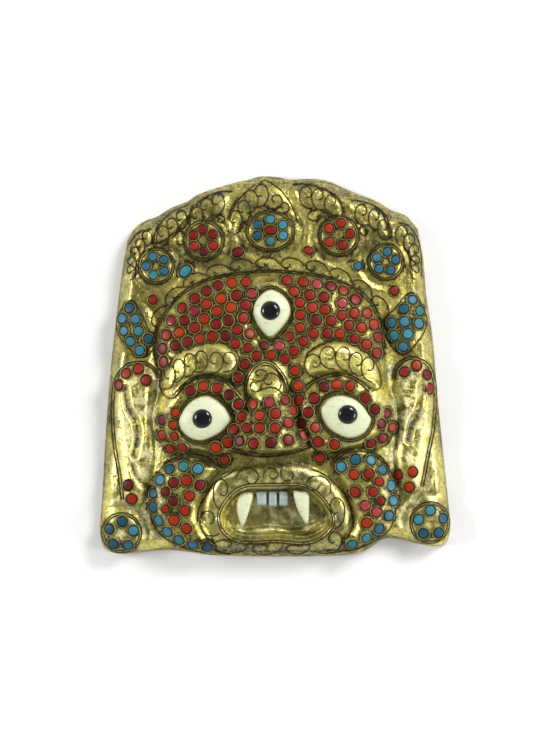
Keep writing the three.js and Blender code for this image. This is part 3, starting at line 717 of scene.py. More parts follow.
FOREHEAD_ARC = [
    (-71.5, -9), (-76, 10), (-73.5, 27), (-66, 38), (-58, 46.5), (-40, 55.5), (-10, 60),
    (10, 59.5), (30, 56.8), (50, 49.5), (60, 41), (66, 30), (69, 12),
]
HEAD_BAND = [
    (-77, 22), (-72.5, 31), (-66, 41), (-54.5, 52), (-38, 59), (-21, 63.3), (-5, 64.4), (9, 64),
    (24, 62.3), (38, 58), (53, 50), (64, 40.5), (69, 33),
]
wires = {
    "wires_head_band": wire_pair(FOREHEAD_ARC) + scrolls_along(HEAD_BAND, 11, (10.5, 7.2), 1, decay=2.1),
    "wires_brow_left": [wire_line([(-59.5, 8), (-56, 12.5), (-43, 16), (-28, 12.5), (-22, 5)]),
                        wire_line([(-71.5, -3), (-73, -11), (-70, -18), (-64.5, -20.3), (-60, -16)])]
    + scrolls([(-67.5, -4.5), (-61.5, -0.5), (-54.5, 3), (-47.3, 5), (-38, 4.3), (-29.5, 4.5)],
              (6.5, 10.5), (7.5, 8.5), -112, 1, decay=1.3),
    "wires_brow_right": [
        wire_line([(19, 5), (24, 11), (38, 16.5), (52, 13), (61, 5.5), (66, -4), (66.3, -13), (61, -15.5)]),
    ]
    + scrolls([(25, 2.5), (34.3, 7.5), (44, 7), (52, 3.5), (59.5, 0.5)], (9, 9.5), (7, 10), -70, -1, decay=1.3),
    "wires_eyes": [],
    "wires_lids": wire_pair(
        [(-63, -18.5), (-59, -13.5), (-53, -8.5), (-46, -6.3), (-38, -6.5), (-30, -10), (-21.5, -19)], gap=1.7)
    + wire_pair([(17, -17), (22, -11), (30, -7), (38, -5), (45, -5.5), (52, -8.5), (60, -15)], gap=1.7),
    "wires_nose": wire_pair([(-18.6, -20), (-18.3, -10), (-15, -2.5), (-10.5, 1.8), (-6, 3.2), (-1, 1.5), (3, -2.5),
                             (6.3, -8), (7.8, -14), (8, -19)], gap=1.5)
    + [
        wire_line([(-8.5, 0.6), (-3, 0.2), (1.8, -3.8), (4.8, -9), (6, -17)]),
        wire_line([(-9.5, -15), (-5, -13.3), (0, -13.5), (4, -16.5), (5.5, -20)]),
        scroll((-9.5, -4.5), (7.5, 5.5), 215, 1, decay=1.3),
        scroll((-3.5, -9), (8.5, 8), -42, 1, decay=1.6),
        scroll((-13, -12.2), (4.6, 5), 20, -1, 330, decay=0.9),
    ]
    + wire_pair([(-29, -52), (-20, -54.6), (-10, -55.8), (0, -55.6), (12, -53.4), (25, -49)], gap=1.7),
    "wires_mouth": wire_pair(MOUTH_RIM, True)
    + [
        scroll((-15.5, -70.5), (9.5, 9), 182, -1, decay=1.5),
        scroll((-1.5, -68.3), (6, 6), 200, -1, decay=1.2),
        scroll((8.5, -68), (6.4, 7), 75, 1, 330, decay=0.9),
        scroll((25, -75), (11.5, 9.5), -35, 1, decay=1.5),
        scroll((38, -89.5), (8.5, 13), -92, 1, decay=1.5),
        scroll((37, -109), (8, 9.5), -120, 1, decay=1.4),
        scroll((12.5, -114.8), (10, 5.6), 22, -1, 340, decay=1.1),
        scroll((-8, -114.6), (13, 6.4), 12, -1, decay=1.5),
        scroll((-31, -112.3), (14.5, 8), -10, -1, decay=1.6),
        scroll((-41.5, -96.5), (9.5, 12), -48, -1, decay=1.5),
        scroll((-33, -78), (8, 12.5), -104, -1, decay=1.5),
    ]
    + [wire_line([(-49, -98), (-47.8, -89), (-42, -79), (-37.5, -72.5), (-30, -68.5), (-25, -64.5)])]
    + [wire_line([(23, -65), (30, -67.5), (38, -74), (45.5, -83), (48.5, -93), (49, -101), (45, -108)])]
    + [wire_line([(27, -118), (36, -118.3), (46, -115.5)]), wire_line([(-44, -106), (-38, -116.5), (-28, -119)])],
    "wires_cheeks": wire_pair([(-70, -61.5), (-57, -56.5), (-47, -57), (-41, -60), (-35.5, -64.5)], gap=1.7)
    + wire_pair([(36, -62.5), (40, -56.5), (48, -53), (57, -53), (66, -57.5), (72, -66), (76, -80)], gap=1.7)
    + [wire_line([(-79, -92), (-77.5, -99), (-71.5, -107), (-62, -113), (-52, -116.5), (-43, -118)])]
    + [wire_line([(77, -88), (73, -102), (64, -110), (52, -115.5), (44, -117)])],
    "wires_ears": wire_pair(
        [(-73, -7), (-78, 0), (-85, 2.5), (-93, 1), (-99, -5), (-102, -14), (-103, -30), (-101.5, -50), (-98.5, -68),
         (-96.5, -84)], gap=1.7)
    + wire_pair(
        [(75, -8), (76, -2), (80, 3), (86, 5.5), (92, 4), (97.5, 0), (101, -10), (101.5, -22), (100, -40), (97, -55),
         (93, -76)], gap=1.7),
    "wires_temples": [
        wire_line([(-91.6, 42), (-85, 35), (-80, 24), (-75, 16), (-82, 6), (-91, 10), (-99, 20), (-100, 31)], True),
        wire_line([(86, 47), (94, 37), (96, 26), (89, 14), (81, 7), (72, 15), (68, 27), (76, 37)], True),
    ],
    "wires_crown": [
        wire_line([(-92.5, 77), (-88.5, 83), (-84, 85.7), (-78.5, 86.7)]),
        wire_line([(-76.5, 75), (-76.3, 83), (-74, 89.5)]),
        wire_line([(-75, 78), (-74.4, 86), (-71, 92.5), (-66, 97.5), (-61, 99.8), (-55, 102.3)]),
        wire_line([(-73, 78.5), (-68, 81), (-63, 85), (-60.5, 88)]),
        wire_line([
            (-53.2, 86), (-53.8, 92), (-52.5, 98), (-50, 101.8), (-46, 106), (-39.5, 109), (-34, 110.6), (-27, 110.7),
        ]),
        wire_line([(-54.5, 90), (-54.3, 96), (-52, 101.5)]),
        wire_line([(-53, 86.8), (-49.5, 87), (-45, 90), (-40, 94), (-36.5, 96), (-33, 96.2)]),
        wire_line([(-28.3, 94), (-26.5, 99.5), (-23, 105.5), (-19, 110), (-12.5, 115.3)]),
        wire_line([(-30, 93), (-27.7, 100), (-23.5, 107)]),
        wire_line([(-9, 117), (-6.3, 118.2), (-3, 116.5), (3, 112), (7.5, 106.8), (11.5, 100), (14.2, 91.8)]),
        wire_line([(11, 115.5), (18, 115.6), (25, 114.2), (32, 111.5), (37.5, 107.8), (41.5, 103), (43.5, 97)]),
        wire_line([(30, 113), (38, 108.5), (42.5, 103)]),
        wire_line([(22, 98), (27, 99.3), (31.5, 97.5), (36, 94.3), (41.5, 95), (43, 98.5)]),
        wire_line([(48, 105), (54, 104.8), (62, 102.3), (67, 98), (70, 92), (71.5, 87), (72, 81.5)]),
        wire_line([(66, 100), (70.5, 94.5), (73, 87), (73.5, 82)]),
        wire_line([(58, 90), (61.5, 87), (64, 85.5)]),
        wire_line([(78, 91), (82, 90.3), (86.5, 87.3), (90, 81.5), (92, 74), (92.8, 66), (92.8, 57)]),
    ]
    + scrolls([(-81.8, 82.3), (-86, 77.3), (-89.5, 72), (-91.5, 66), (-91.8, 60.5)], (5.5, 6.5), (5, 6), -80, 1)
    + scrolls([(-71.5, 84.5), (-66, 89.5), (-60, 94.5)], (6, 8.5), (6, 8), -85, 1)
    + scrolls([(-50.2, 96), (-44.3, 101.5), (-37, 104.8)], (7, 9.5), (7.5, 9.5), -95, 1)
    + scrolls([(-26, 93.3), (-20.7, 100), (-16.3, 106.5), (-9.7, 110.3)], (7.5, 10), (8, 10), -95, 1)
    + scrolls([(0.3, 105.5), (5.5, 101.3)], (7.5, 7.5), (6, 5.5), -150, 1)
    + scrolls([(20.5, 109.3), (28, 107.8), (35.8, 104)], (7.5, 10), (7, 9.5), -62, -1)
    + scrolls([(55.5, 98), (63.5, 95), (69, 88.5)], (7.5, 9.5), (6, 9), -62, -1)
    + scrolls([(81, 84.5), (86, 79.5), (88.8, 73.5), (89.4, 66.8), (89.3, 61)], (6.5, 8.5), (5, 6), -98, -1)
    + [
        scroll((-60, 79.8), (9, 9.5), 230, -1, decay=1.5),
        scroll((26, 94.3), (11.5, 7), 0, 1, decay=1.8),
        scroll((56.5, 85.3), (6, 5.5), 0, 1, decay=1.3),
        scroll((-34.5, 92.5), (4.5, 4), 180, -1, decay=1.3),
    ],
    "wires_medallions": [],
}
for at, size, _ in MEDALLIONS.values():
    wires["wires_medallions"] += wire_pair(oval(at, (size[0] * 0.86, size[1] * 0.86)), True, gap=1.4)

# %% [markdown]
# ## Eyes
#
# Each eye is a plate of bone filed to an almond and domed, with a polished black glass cabochon let into it.
# A turned dome gives the section. Its rim is then drawn out to the almond, while the middle stays round for the glass.

# %% Eye outlines
EYE_RIMS = {
    "third": [(9.5, 34), (6.5, 43), (-2.7, 48.2), (-11, 42.5), (-13.6, 33.8), (-9.5, 24.5), (-2.9, 18.6), (5, 25.5)],
    "left": [
        (-28.3, -32.8), (-33, -24.5), (-42.9, -18.8), (-53.5, -23), (-60.4, -34), (-56.5, -42.5), (-47.5, -46.4),
        (-37, -43), (-31, -38),
    ],
    "right": [
        (59.3, -31), (52, -22), (41.2, -18.4), (32, -21.5), (28.8, -28.3), (33.5, -38), (42, -43.6), (49, -44.6),
        (56, -41.5), (60, -35),
    ],
}
PUPILS = {"third": (-2.9, 35.0), "left": (-45.6, -32.7), "right": (45.5, -30.1)}
PUPIL_RADIUS = 5.8
EYE_HEIGHT = 4.6
CORE_SCALE = 12

for name, points in EYE_RIMS.items():
    wires["wires_eyes"] += [wire_line(points, True, -1.3), wire_line(points, True, -2.6)]


def rim_distance(points, centre):
    """A function from an angle to the outline's distance from the centre."""
    path = smooth_path(points, 240, closed=True)[:-1] - np.array(centre)
    angle = np.arctan2(path[:, 1], path[:, 0])
    far = np.hypot(path[:, 0], path[:, 1])
    order = np.argsort(angle)
    return lambda a: np.interp(a, angle[order], far[order], period=math.tau)


def drawn_out(bm, points, centre, core=0.0):
    """Draws a unit disc's rim out to an outline. A core, in mm, stays round, with CORE_SCALE mm to the unit."""
    edge = rim_distance(points, centre)
    for vert in bm.verts:
        share = math.hypot(vert.co.x, vert.co.y)
        angle = math.atan2(vert.co.y, vert.co.x)
        limit = float(edge(angle))
        core_share = core / CORE_SCALE
        if core and share <= core_share:
            radius = share * CORE_SCALE
        elif core:
            radius = core + (share - core_share) / (1 - core_share) * (limit - core)
        else:
            radius = share * limit
        vert.co.x = radius * math.cos(angle)
        vert.co.y = radius * math.sin(angle)
    return bm


def placed(bm, at, base, slope=(0.0, 0.0)):
    """Stands a bmesh, modelled in mm, on a point of the sheet with a lean, and turns it into metres."""
    up = Vector((-slope[0], -slope[1], 1)).normalized()
    lean = Vector((0, 0, 1)).rotation_difference(up).to_matrix().to_4x4()
    matrix = Matrix.Scale(MM, 4) @ Matrix.Translation((at[0], at[1], base)) @ lean
    bmesh.ops.transform(bm, matrix=matrix, verts=bm.verts)
    return bm


for name, points in EYE_RIMS.items():
    at, _, middle, slope = EYE_SEATS[name]
    centre = PUPILS[name]
    ground = middle + slope[0] * (centre[0] - at[0]) + slope[1] * (centre[1] - at[1]) + 0.2
    dome = [(0, 0), (0.97, 0), (1, 0.5), (0.99, 1.3), (0.95, 2.1), (0.87, 2.9), (0.76, 3.6), (0.64, 4.1),
            (0.53, EYE_HEIGHT), (0.50, EYE_HEIGHT), (0.5, 3.2), (0, 3.2)]
    eye = mesh_piece(f"bone_eye_{name}", placed(
        drawn_out(turned(dome, 72), points, centre, core=6.0), centre, ground, slope))
    show(eye, "bone", bone, [f"eye_{name}"])
    r = PUPIL_RADIUS
    bead = [(0, 0), (r, 0), (r, 1.5), (0.96 * r, 2.1), (0.85 * r, 2.7), (0.65 * r, 3.15), (0.4 * r, 3.4), (0, 3.5)]
    pupil = mesh_piece(f"glass_pupil_{name}", placed(turned(bead, 40), centre, ground + 3.25, slope))
    show(pupil, "black_glass", black_glass, [f"pupil_{name}"])
    print(name, "eye: CAD base", round(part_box(f"eye_{name}")[0][2] / MM, 1), "made base", round(ground, 1))

# %% [markdown]
# ## Fangs and teeth
#
# The fangs are bone blades with a rounded face; the three teeth between them are grey-blue stone slips.
# They are domed plates like the eyes, so the same drawn-out disc makes them.

# %% Fangs and teeth
FANGS = {
    "left": [(-23.3, -82.2), (-24.2, -90), (-22.2, -98), (-20.6, -101.6), (-18, -96), (-15.4, -88), (-13.9, -80.5),
             (-18, -79.4)],
    "right": [(11.6, -79), (16, -78.8), (21, -79.8), (21.5, -89), (21.2, -96), (20.4, -99.7), (17.5, -96.3),
              (13.8, -89)],
}
TEETH = {"left": (-8.6, -83.3, 6.4, 8.9), "middle": (-1.4, -83.6, 5.0, 9.4), "right": (5.4, -83.4, 5.5, 9.2)}
BLADE = [(0, 0), (0.93, 0), (1, 0.8), (1, 2.6), (0.93, 3.7), (0.78, 4.5), (0.5, 5), (0, 5.2)]
SLIP = [(0, 0), (0.9, 0), (1, 0.6), (1, 2.4), (0.9, 3.4), (0.68, 3.9), (0.4, 4.05), (0, 4.1)]

for name, points in FANGS.items():
    low, high = (np.array(corner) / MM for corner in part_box(f"fang_{name}"))
    centre = np.mean(points, axis=0)
    fang = mesh_piece(f"bone_fang_{name}", placed(drawn_out(turned(BLADE, 48), points, centre), centre, low[2] + 0.3))
    show(fang, "bone", bone, [f"fang_{name}"])

for name, (x, y, width, tall) in TEETH.items():
    low, high = (np.array(corner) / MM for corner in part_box(f"tooth_{name}"))
    box_like = [(x + width / 2 * sx, y + tall / 2 * sy) for sx, sy in
                ((1, 0.0), (0.98, 0.8), (0.7, 1), (0, 1), (-0.7, 1), (-0.98, 0.8), (-1, 0), (-0.98, -0.8), (-0.7, -1),
                 (0, -1), (0.7, -1), (0.98, -0.8))]
    slip = drawn_out(turned(SLIP, 40), box_like, (x, y))
    tooth = mesh_piece(f"stone_tooth_{name}", placed(slip, (x, y), low[2]))
    tooth.data.attributes.new("tone", "FLOAT", "POINT").data.foreach_set(
        "value", np.full(len(tooth.data.vertices), random.random()))
    show(tooth, "tooth_stone", tooth_stone, [f"tooth_{name}"])

# %% [markdown]
# ## Set stones
#
# A cabochon sits in a collar of brass strip, the bezel, bent round it and soldered to the sheet. The stones stand in
# rows that follow the forms, a little unevenly, because they were placed by eye. One turned stone and one turned
# collar are copied to every place, leaning with the sheet, and each region is joined into one mesh to stay light.
# Under each stone lies a dark disc, painted shade that shows in the gap round it.

# %% Rows of stones
# Each row: kind of stone, its width in mm before WIDER, how many, and the line that they stand on.
ROWS = {
    "forehead": [
        ("red", 6.3, 10, [(-17.8, 51.4), (-34.6, 48.9), (-49.5, 41.1), (-62.8, 28.2), (-68.6, 11.3), (-69.7, 2.8)]),
        ("red", 6.3, 8, [(-15.5, 46.4), (-33.6, 43.1), (-49.6, 34.8), (-59.6, 21.9), (-62.9, 13.4)]),
        ("red", 6.3, 6, [(-20, 40.2), (-37, 36.5), (-51.3, 26.8), (-56.3, 16.6)]),
        ("red", 6.2, 3, [(-20.2, 31.3), (-29.5, 30.6), (-37.5, 27.6)]),
        ("red", 6.2, 4, [(-24.3, 23.7), (-32.4, 18.9), (-40.5, 19), (-48.5, 19.2)]),
        ("red", 6.0, 2, [(-16.3, 20.3), (-25.2, 14.5)]),
        ("red", 6.3, 10, [(8.1, 53.1), (27.3, 50.3), (44.6, 44.2), (56.3, 32.5), (63.5, 16.5), (64, 8.6)]),
        ("red", 6.3, 7, [(12.6, 47.7), (29.8, 44.2), (38.9, 41.8), (50.3, 33.1), (56.1, 25.7), (58.3, 14.5)]),
        ("red", 6.2, 6, [(15.2, 40.6), (23.6, 36.9), (32.2, 37.2), (43, 33.6), (47.7, 26.8), (51.6, 19.2)]),
        ("red", 6.2, 4, [(15.8, 32.7), (26.5, 29.2), (37.5, 29.6), (41.6, 21.4)]),
        ("red", 6.0, 3, [(15.8, 24.5), (25.2, 20.8), (33.4, 22.3)]),
        ("red", 6.0, 2, [(9.4, 18.7), (17.9, 15.8)]),
    ],
    "brow_knot": [
        ("red", 5.8, 4, [(-16.8, 11.6), (-6, 12.9), (3.3, 12.7), (11.6, 9.7)]),
        ("red", 5.8, 3, [(-11.7, 6.6), (-1.9, 7), (6.5, 4.6)]),
        ("red", 5.8, 2, [(-18.8, 1.6), (-23.2, -6.9)]),
        ("red", 5.8, 2, [(12.4, -2.6), (14.4, -12.2)]),
    ],
    "eyes": [
        ("red", 5.9, 4, [(-53, -15.2), (-44.1, -12.3), (-36, -13.8), (-29, -18.4)]),
        ("red", 5.9, 3, [(30.8, -13), (39.3, -11.4), (46.9, -12.5)]),
        ("red", 5.9, 3, [(56.9, -19.8), (62.2, -26.2), (66.4, -36)]),
        ("red", 5.6, 2, [(69.8, -29.4), (73.4, -38.5)]),
        ("red", 5.9, 2, [(67.3, -45), (60.3, -48.2)]),
        ("red", 5.1, 2, [(-63.0, -28.9), (-65.2, -36.5)]),
        ("red", 5.9, 2, [(-69.6, -34.2), (-70.5, -43)]),
        ("red", 5.9, 3, [(-63.2, -43.6), (-65.6, -51.6), (-58.1, -50.4)]),
    ],
    "nose": [
        ("red", 6.2, 6, [(-22.7, -24.1), (-14.2, -24.5), (-5.3, -23.2), (3.6, -20.9), (15.6, -21.4), (24.7, -20.2)]),
        ("red", 6.2, 5, [(-20.2, -32.1), (-11.4, -30.3), (0.5, -29.2), (11.7, -27.3), (20.9, -28.9)]),
        ("red", 6.2, 3, [(-25.6, -39.7), (-18.5, -38.2), (-10, -38.6)]),
        ("red", 6.2, 4, [(-0.2, -38.8), (8.8, -35.4), (16.5, -35.8), (25.3, -38.3)]),
        ("red", 6.2, 4, [(-37.2, -51), (-29.6, -47.5), (-21.9, -46.6), (-13.5, -48.4)]),
        ("red", 6.2, 5, [(-2.4, -47.8), (10.4, -45.6), (19.9, -43.2), (28.5, -47.4), (37.4, -48.8)]),
        ("red", 6.0, 1, [(-32, -58.3)]),
        ("red", 6.0, 1, [(28.4, -57.3)]),
    ],
    "cheek_left": [
        ("blue", 6.2, 11, [(-48.6, -64.7), (-57.3, -63), (-65, -64.6), (-71, -70.5), (-74.7, -78), (-75.6, -87.1),
                           (-73.4, -96.4), (-67.6, -103.9), (-59.7, -109), (-51, -111.8), (-43, -113.8)]),
        ("red", 6.2, 3, [(-64.1, -73.2), (-56.2, -71.9), (-47.5, -74.5)]),
        ("red", 6.2, 2, [(-64.5, -84.5), (-54, -81.7)]),
        ("red", 6.2, 3, [(-56.6, -90.8), (-63.4, -96.6), (-55.7, -102.2)]),
        ("red", 5.2, 2, [(-69.6, -79.2), (-69.4, -89.6)]),
    ],
    "cheek_right": [
        ("blue", 6.2, 10, [(42, -63), (49.8, -59), (57.8, -58.2), (64.8, -63.4), (70.4, -71.5), (72.6, -80.5),
                           (71.9, -89.7), (67.5, -99.7), (59.6, -106.4), (48.5, -111.8)]),
        ("red", 6.2, 2, [(49.9, -68.2), (59.1, -67.7)]),
        ("red", 6.2, 2, [(50.9, -78.8), (62.2, -79.1)]),
        ("red", 6.2, 3, [(56.8, -87.5), (65, -91.3), (57.8, -98.7)]),
        ("red", 5.2, 2, [(66.2, -72.6), (67.8, -84.4)]),
    ],
    "ears": [
        ("red", 6.0, 4, [(-98, -12), (-94, -4.5), (-86, -1.5), (-81.3, -8.6)]),
        ("red", 6.2, 2, [(-92.4, -75), (-90.4, -83.6)]),
        ("red", 6.0, 4, [(81.7, -3.5), (88.8, 0.6), (95.4, -4.3), (97, -13.9)]),
        ("red", 6.0, 3, [(78.2, -68.2), (86.8, -66.3), (85.1, -75.6)]),
    ],
    "temples": [
        ("blue", 6.0, 1, [(-91.6, 36.6)]),
        ("blue", 6.0, 2, [(-95.6, 30.1), (-88.6, 29.7)]),
        ("blue", 6.0, 2, [(-94.8, 22.8), (-86.2, 23.2)]),
        ("blue", 6.0, 2, [(-91.4, 16.2), (-80.3, 17.4)]),
        ("blue", 6.0, 1, [(-85.6, 10.3)]),
        ("blue", 6.0, 2, [(86.4, 41.6), (81.6, 36.2)]),
        ("blue", 6.0, 1, [(91.1, 34.9)]),
        ("blue", 6.0, 3, [(73.4, 27.8), (81.7, 28.6), (90.3, 27.4)]),
        ("blue", 6.0, 2, [(75.1, 19.6), (83.6, 20.5)]),
        ("blue", 6.0, 1, [(80.9, 12.8)]),
    ],
}
# Rings on the jewel bosses: kind, centre, radii, how many, first angle, stone width before RING_WIDER.
RINGS = {
    "crown_centre_blue": ("blue", (-3, 86), (9.3, 6.8), 6, 90, 6.0),
    "crown_inner_left": ("red", (-45.3, 79.6), (7, 7), 6, 92, 6.0),
    "crown_inner_right": ("red", (40, 83.3), (7.3, 7.3), 5, 148, 6.1),
    "crown_outer_left": ("blue", (-75.1, 63.6), (6.1, 6.1), 5, 110, 5.7),
    "crown_outer_right": ("blue", (69.9, 66.2), (6.2, 6.2), 5, 155, 5.7),
    "corner_left": ("blue", (-97, -105.6), (7.8, 7.8), 5, 86, 6.6),
    "corner_right": ("blue", (98.2, -98.8), (7.9, 7.9), 5, 92, 6.6),
}
# Single stones of the crown: kind, centre, length and width, turn.
SINGLES = {
    "crown_centre_red": ("red", (-2.7, 85.9), (8.4, 6.5), 0),
    "band_oval_blue": ("blue", (-56.6, 60.2), (9.6, 7.3), 45),
    "band_oval_red_left": ("red", (-23.6, 72), (8, 6.5), 5),
    "band_oval_red_right": ("red", (21.2, 73.3), (6.8, 4.8), -15),
    "band_round_blue": ("blue", (52.1, 63.4), (6, 6), 0),
    "temple_red_left": ("red", (-77, 42.1), (6.4, 6.4), 0),
    "temple_red_right": ("red", (75.2, 47.8), (6.4, 6.4), 0),
}
PINK_SHARE = 0.06
JITTER = 0.25
WIDER = 1.2
RING_WIDER = 1.1
SHARED_WALL = 1.07
EASING_STEPS = 60
EASING_PUSH = 0.25
EASE_LIMIT = 2.0

placements = {}
for region, rows in ROWS.items():
    for kind, width, count, points in rows:
        line = smooth_path(points, count - 1) if count > 1 else np.array(points, float)
        for x, y in line:
            spot = (x + random.uniform(-JITTER, JITTER), y + random.uniform(-JITTER, JITTER))
            size = (WIDER * width * random.uniform(0.95, 1.05), WIDER * width * random.uniform(0.93, 1.04))
            chosen = "pink" if kind == "red" and random.random() < PINK_SHARE else kind
            placements.setdefault((region, chosen), []).append((spot, size, random.uniform(0, 360), ()))
for name, (kind, centre, radii, count, start, width) in RINGS.items():
    for i in range(count):
        angle = math.radians(start - 360 * i / count)
        spot = (centre[0] + radii[0] * math.cos(angle), centre[1] + radii[1] * math.sin(angle))
        size = (RING_WIDER * width, RING_WIDER * width)
        placements.setdefault((name, kind), []).append((spot, size, 20 * i, (f"{name}_{i + 1}",)))
for name, (kind, centre, size, turn) in SINGLES.items():
    placements.setdefault((name, kind), []).append((centre, size, turn, (name,)))
total = sum(len(v) for v in placements.values())
print(total, "stones in", len(placements), "groups")

# Where rows run close, stones are eased apart, a little each time, and none is moved further than it may go. Then no
# stone is wider than its room: two collars side by side may share a wall, and stones never meet.
every_spot = np.array([item[0] for items in placements.values() for item in items])
wanted = np.array([max(item[1]) for items in placements.values() for item in items])
may_move = np.array([region in ROWS for (region, _), items in placements.items() for _ in items])
measured = every_spot.copy()
for _ in range(EASING_STEPS):
    towards = every_spot[:, None] - every_spot[None]
    apart = np.linalg.norm(towards, axis=2)
    np.fill_diagonal(apart, np.inf)
    short = np.clip(SHARED_WALL * (wanted[:, None] + wanted[None]) / 2 - apart, 0, None)
    push = (towards / apart[:, :, None] * short[:, :, None]).sum(axis=1) * EASING_PUSH
    shift = every_spot + push * may_move[:, None] - measured
    length = np.linalg.norm(shift, axis=1, keepdims=True)
    every_spot = measured + shift * np.minimum(1, EASE_LIMIT / np.maximum(length, 1e-6))
moved = np.linalg.norm(every_spot - measured, axis=1)
print("eased: middle", round(float(np.median(moved[may_move])), 2), "mm, most", round(float(moved.max()), 2), "mm")
eased = iter(every_spot)
for items in placements.values():
    items[:] = [(tuple(next(eased)), size, turn, nodes) for _, size, turn, nodes in items]
every_place = np.column_stack([every_spot, height(every_spot[:, 0], every_spot[:, 1])])
apart = np.linalg.norm(every_place[:, None] - every_place[None], axis=2)
np.fill_diagonal(apart, np.inf)
room = iter(apart.min(axis=1) / SHARED_WALL)
trimmed = 0
for (region, _), items in placements.items():
    for index, (spot, size, turn, nodes) in enumerate(items):
        most = next(room)
        if region not in SINGLES and max(size) > most:
            shrink = most / max(size)
            items[index] = (spot, (size[0] * shrink, size[1] * shrink), turn, nodes)
            trimmed += 1
every_size = np.array([max(item[1]) for items in placements.values() for item in items])
gaps = apart - (every_size[:, None] + every_size[None]) / 2
print(trimmed, "stones trimmed to their room, smallest gap", round(float(gaps.min()), 2), "mm")
print("pairs that would meet if each stone were round and as wide as its long side:", int((gaps < 0).sum() // 2))
print("widths, from least to most:", np.percentile(every_size, (0, 25, 50, 100)).round(2), "mm")

# %% One stone and one collar, copied to every place
STONE_PROFILE = [
    (0, -0.8), (0.96, -0.8), (0.96, 0.75), (0.92, 1.05), (0.83, 1.25), (0.7, 1.38), (0.4, 1.46), (0, 1.5),
]
# Radius past which a stone's edge carries the painted bezel shadow.
SHADED_RIM_FROM = 0.78
COLLAR = {"inner": 1.05, "outer": 1.16, "foot": -1.2, "top": 1.25}
STONE_SIDES = 14
LEAN = 0.7
FOOT_DEPTH = 0.6
BEZEL_GRIME = 0.25
# How dark the sheet is made round each collar: dirt and painted shade.
BED_SOIL_AND_SHADE = 0.8
CLEAN_BED_SOIL_AND_SHADE = 0.4
FINISH = {"red": ("red_stone", red_stone), "pink": ("red_stone", pink_stone), "blue": ("blue_stone", blue_stone)}


def template(profile, closed=False):
    if closed:
        bm = bmesh.new()
        verts = [bm.verts.new((radius, 0, z)) for radius, z in profile]
        edges = [bm.edges.new((verts[i], verts[(i + 1) % len(verts)])) for i in range(len(verts))]
        bmesh.ops.spin(bm, geom=verts + edges, cent=(0, 0, 0), axis=(0, 0, 1), dvec=(0, 0, 0),
                       angle=math.tau, steps=STONE_SIDES, use_merge=True, use_duplicate=False)
        bmesh.ops.remove_doubles(bm, verts=bm.verts, dist=1e-5)
        bmesh.ops.recalc_face_normals(bm, faces=bm.faces)
    else:
        bm = turned(profile, STONE_SIDES)
    mesh = bpy.data.meshes.new("template")
    bm.to_mesh(mesh)
    bm.free()
    return mesh


stone_mesh = template(STONE_PROFILE)
# The dark disc under a stone, for painted shade.
shade_disc_mesh = template([(0, -0.7), (1.1, -0.7), (1.1, 0.5), (0, 0.5)])
collar_mesh = template([
    (COLLAR["inner"], COLLAR["foot"]), (COLLAR["outer"], COLLAR["foot"]),
    (COLLAR["outer"], COLLAR["top"] - 0.2), (COLLAR["outer"] - 0.05, COLLAR["top"]),
    (COLLAR["inner"] + 0.02, COLLAR["top"]), (COLLAR["inner"], COLLAR["top"] - 0.2),
], closed=True)


def seat_matrix(spot, size, turn, lean):
    """Stands a unit stone on the sheet, in metres. Radial size is half the stone's, height stays in mm."""
    up = Vector((-lean[0], -lean[1], 1)).normalized()
    tip = Vector((0, 0, 1)).rotation_difference(up).to_matrix().to_4x4()
    grow = Matrix.Diagonal((size[0] / 2, size[1] / 2, 1, 1))
    spin = Matrix.Rotation(math.radians(turn), 4, "Z")
    return Matrix.Scale(MM, 4) @ Matrix.Translation((spot[0], spot[1], spot[2])) @ tip @ spin @ grow


def copies(name, mesh, matrices, tones=None):
    """One joined mesh of copies, with a tone for each copy. Feet are kept inside the thickness of the sheet."""
    bm = bmesh.new()
    for matrix in matrices:
        before = len(bm.verts)
        bm.from_mesh(mesh)
        bm.verts.ensure_lookup_table()
        bmesh.ops.transform(bm, matrix=matrix, verts=bm.verts[before:])
    places = np.array([vert.co[:] for vert in bm.verts])
    deepest = (height(places[:, 0] / MM, places[:, 1] / MM) - FOOT_DEPTH) * MM
    for vert, level in zip(bm.verts, np.maximum(places[:, 2], deepest)):
        vert.co.z = level
    piece = mesh_piece(name, bm)
    if tones is not None:
        # The stone's outer edge, where the bezel's shadow is painted.
        in_bezel_shadow = [float(math.hypot(v.co.x, v.co.y) > SHADED_RIM_FROM) for v in mesh.vertices]
        paint(piece, "tone", np.repeat(tones, len(mesh.vertices)))
        paint(piece, "rim", np.tile(in_bezel_shadow, len(matrices)))
    return piece


stone_beds = []
collars = {}
for (region, kind), items in placements.items():
    spots = np.array([spot for spot, *_ in items])
    lean_x, lean_y = slopes(spots[:, 0], spots[:, 1], step=2.4)
    ring_heights = [height(spots[:, 0] + 2.2 * math.cos(a), spots[:, 1] + 2.2 * math.sin(a))
                    for a in np.linspace(0, math.tau, 6, endpoint=False)]
    ground = 0.5 * height(spots[:, 0], spots[:, 1]) + 0.5 * np.mean(ring_heights, axis=0)
    matrices = []
    replaced = []
    for (spot, size, turn, nodes), z, lx, ly in zip(items, ground, lean_x, lean_y):
        wobble = [LEAN * math.tanh(value / LEAN / 1.6) + random.uniform(-0.05, 0.05) for value in (lx, ly)]
        matrix = seat_matrix((spot[0], spot[1], z + 0.1), size, turn, wobble)
        matrices.append(matrix)
        soil_and_shade = CLEAN_BED_SOIL_AND_SHADE if region in SINGLES or region == "ears" else BED_SOIL_AND_SHADE
        stone_beds.append((spot, COLLAR["outer"] * max(size) / 2, soil_and_shade))
        replaced += nodes
    slot_name, material = FINISH[kind]
    tones = [random.random() for _ in matrices]
    show(copies(f"stones_{region}_{kind}", stone_mesh, matrices, tones), slot_name, material, replaced)
    collars.setdefault(region.split("_")[0], []).extend(matrices)
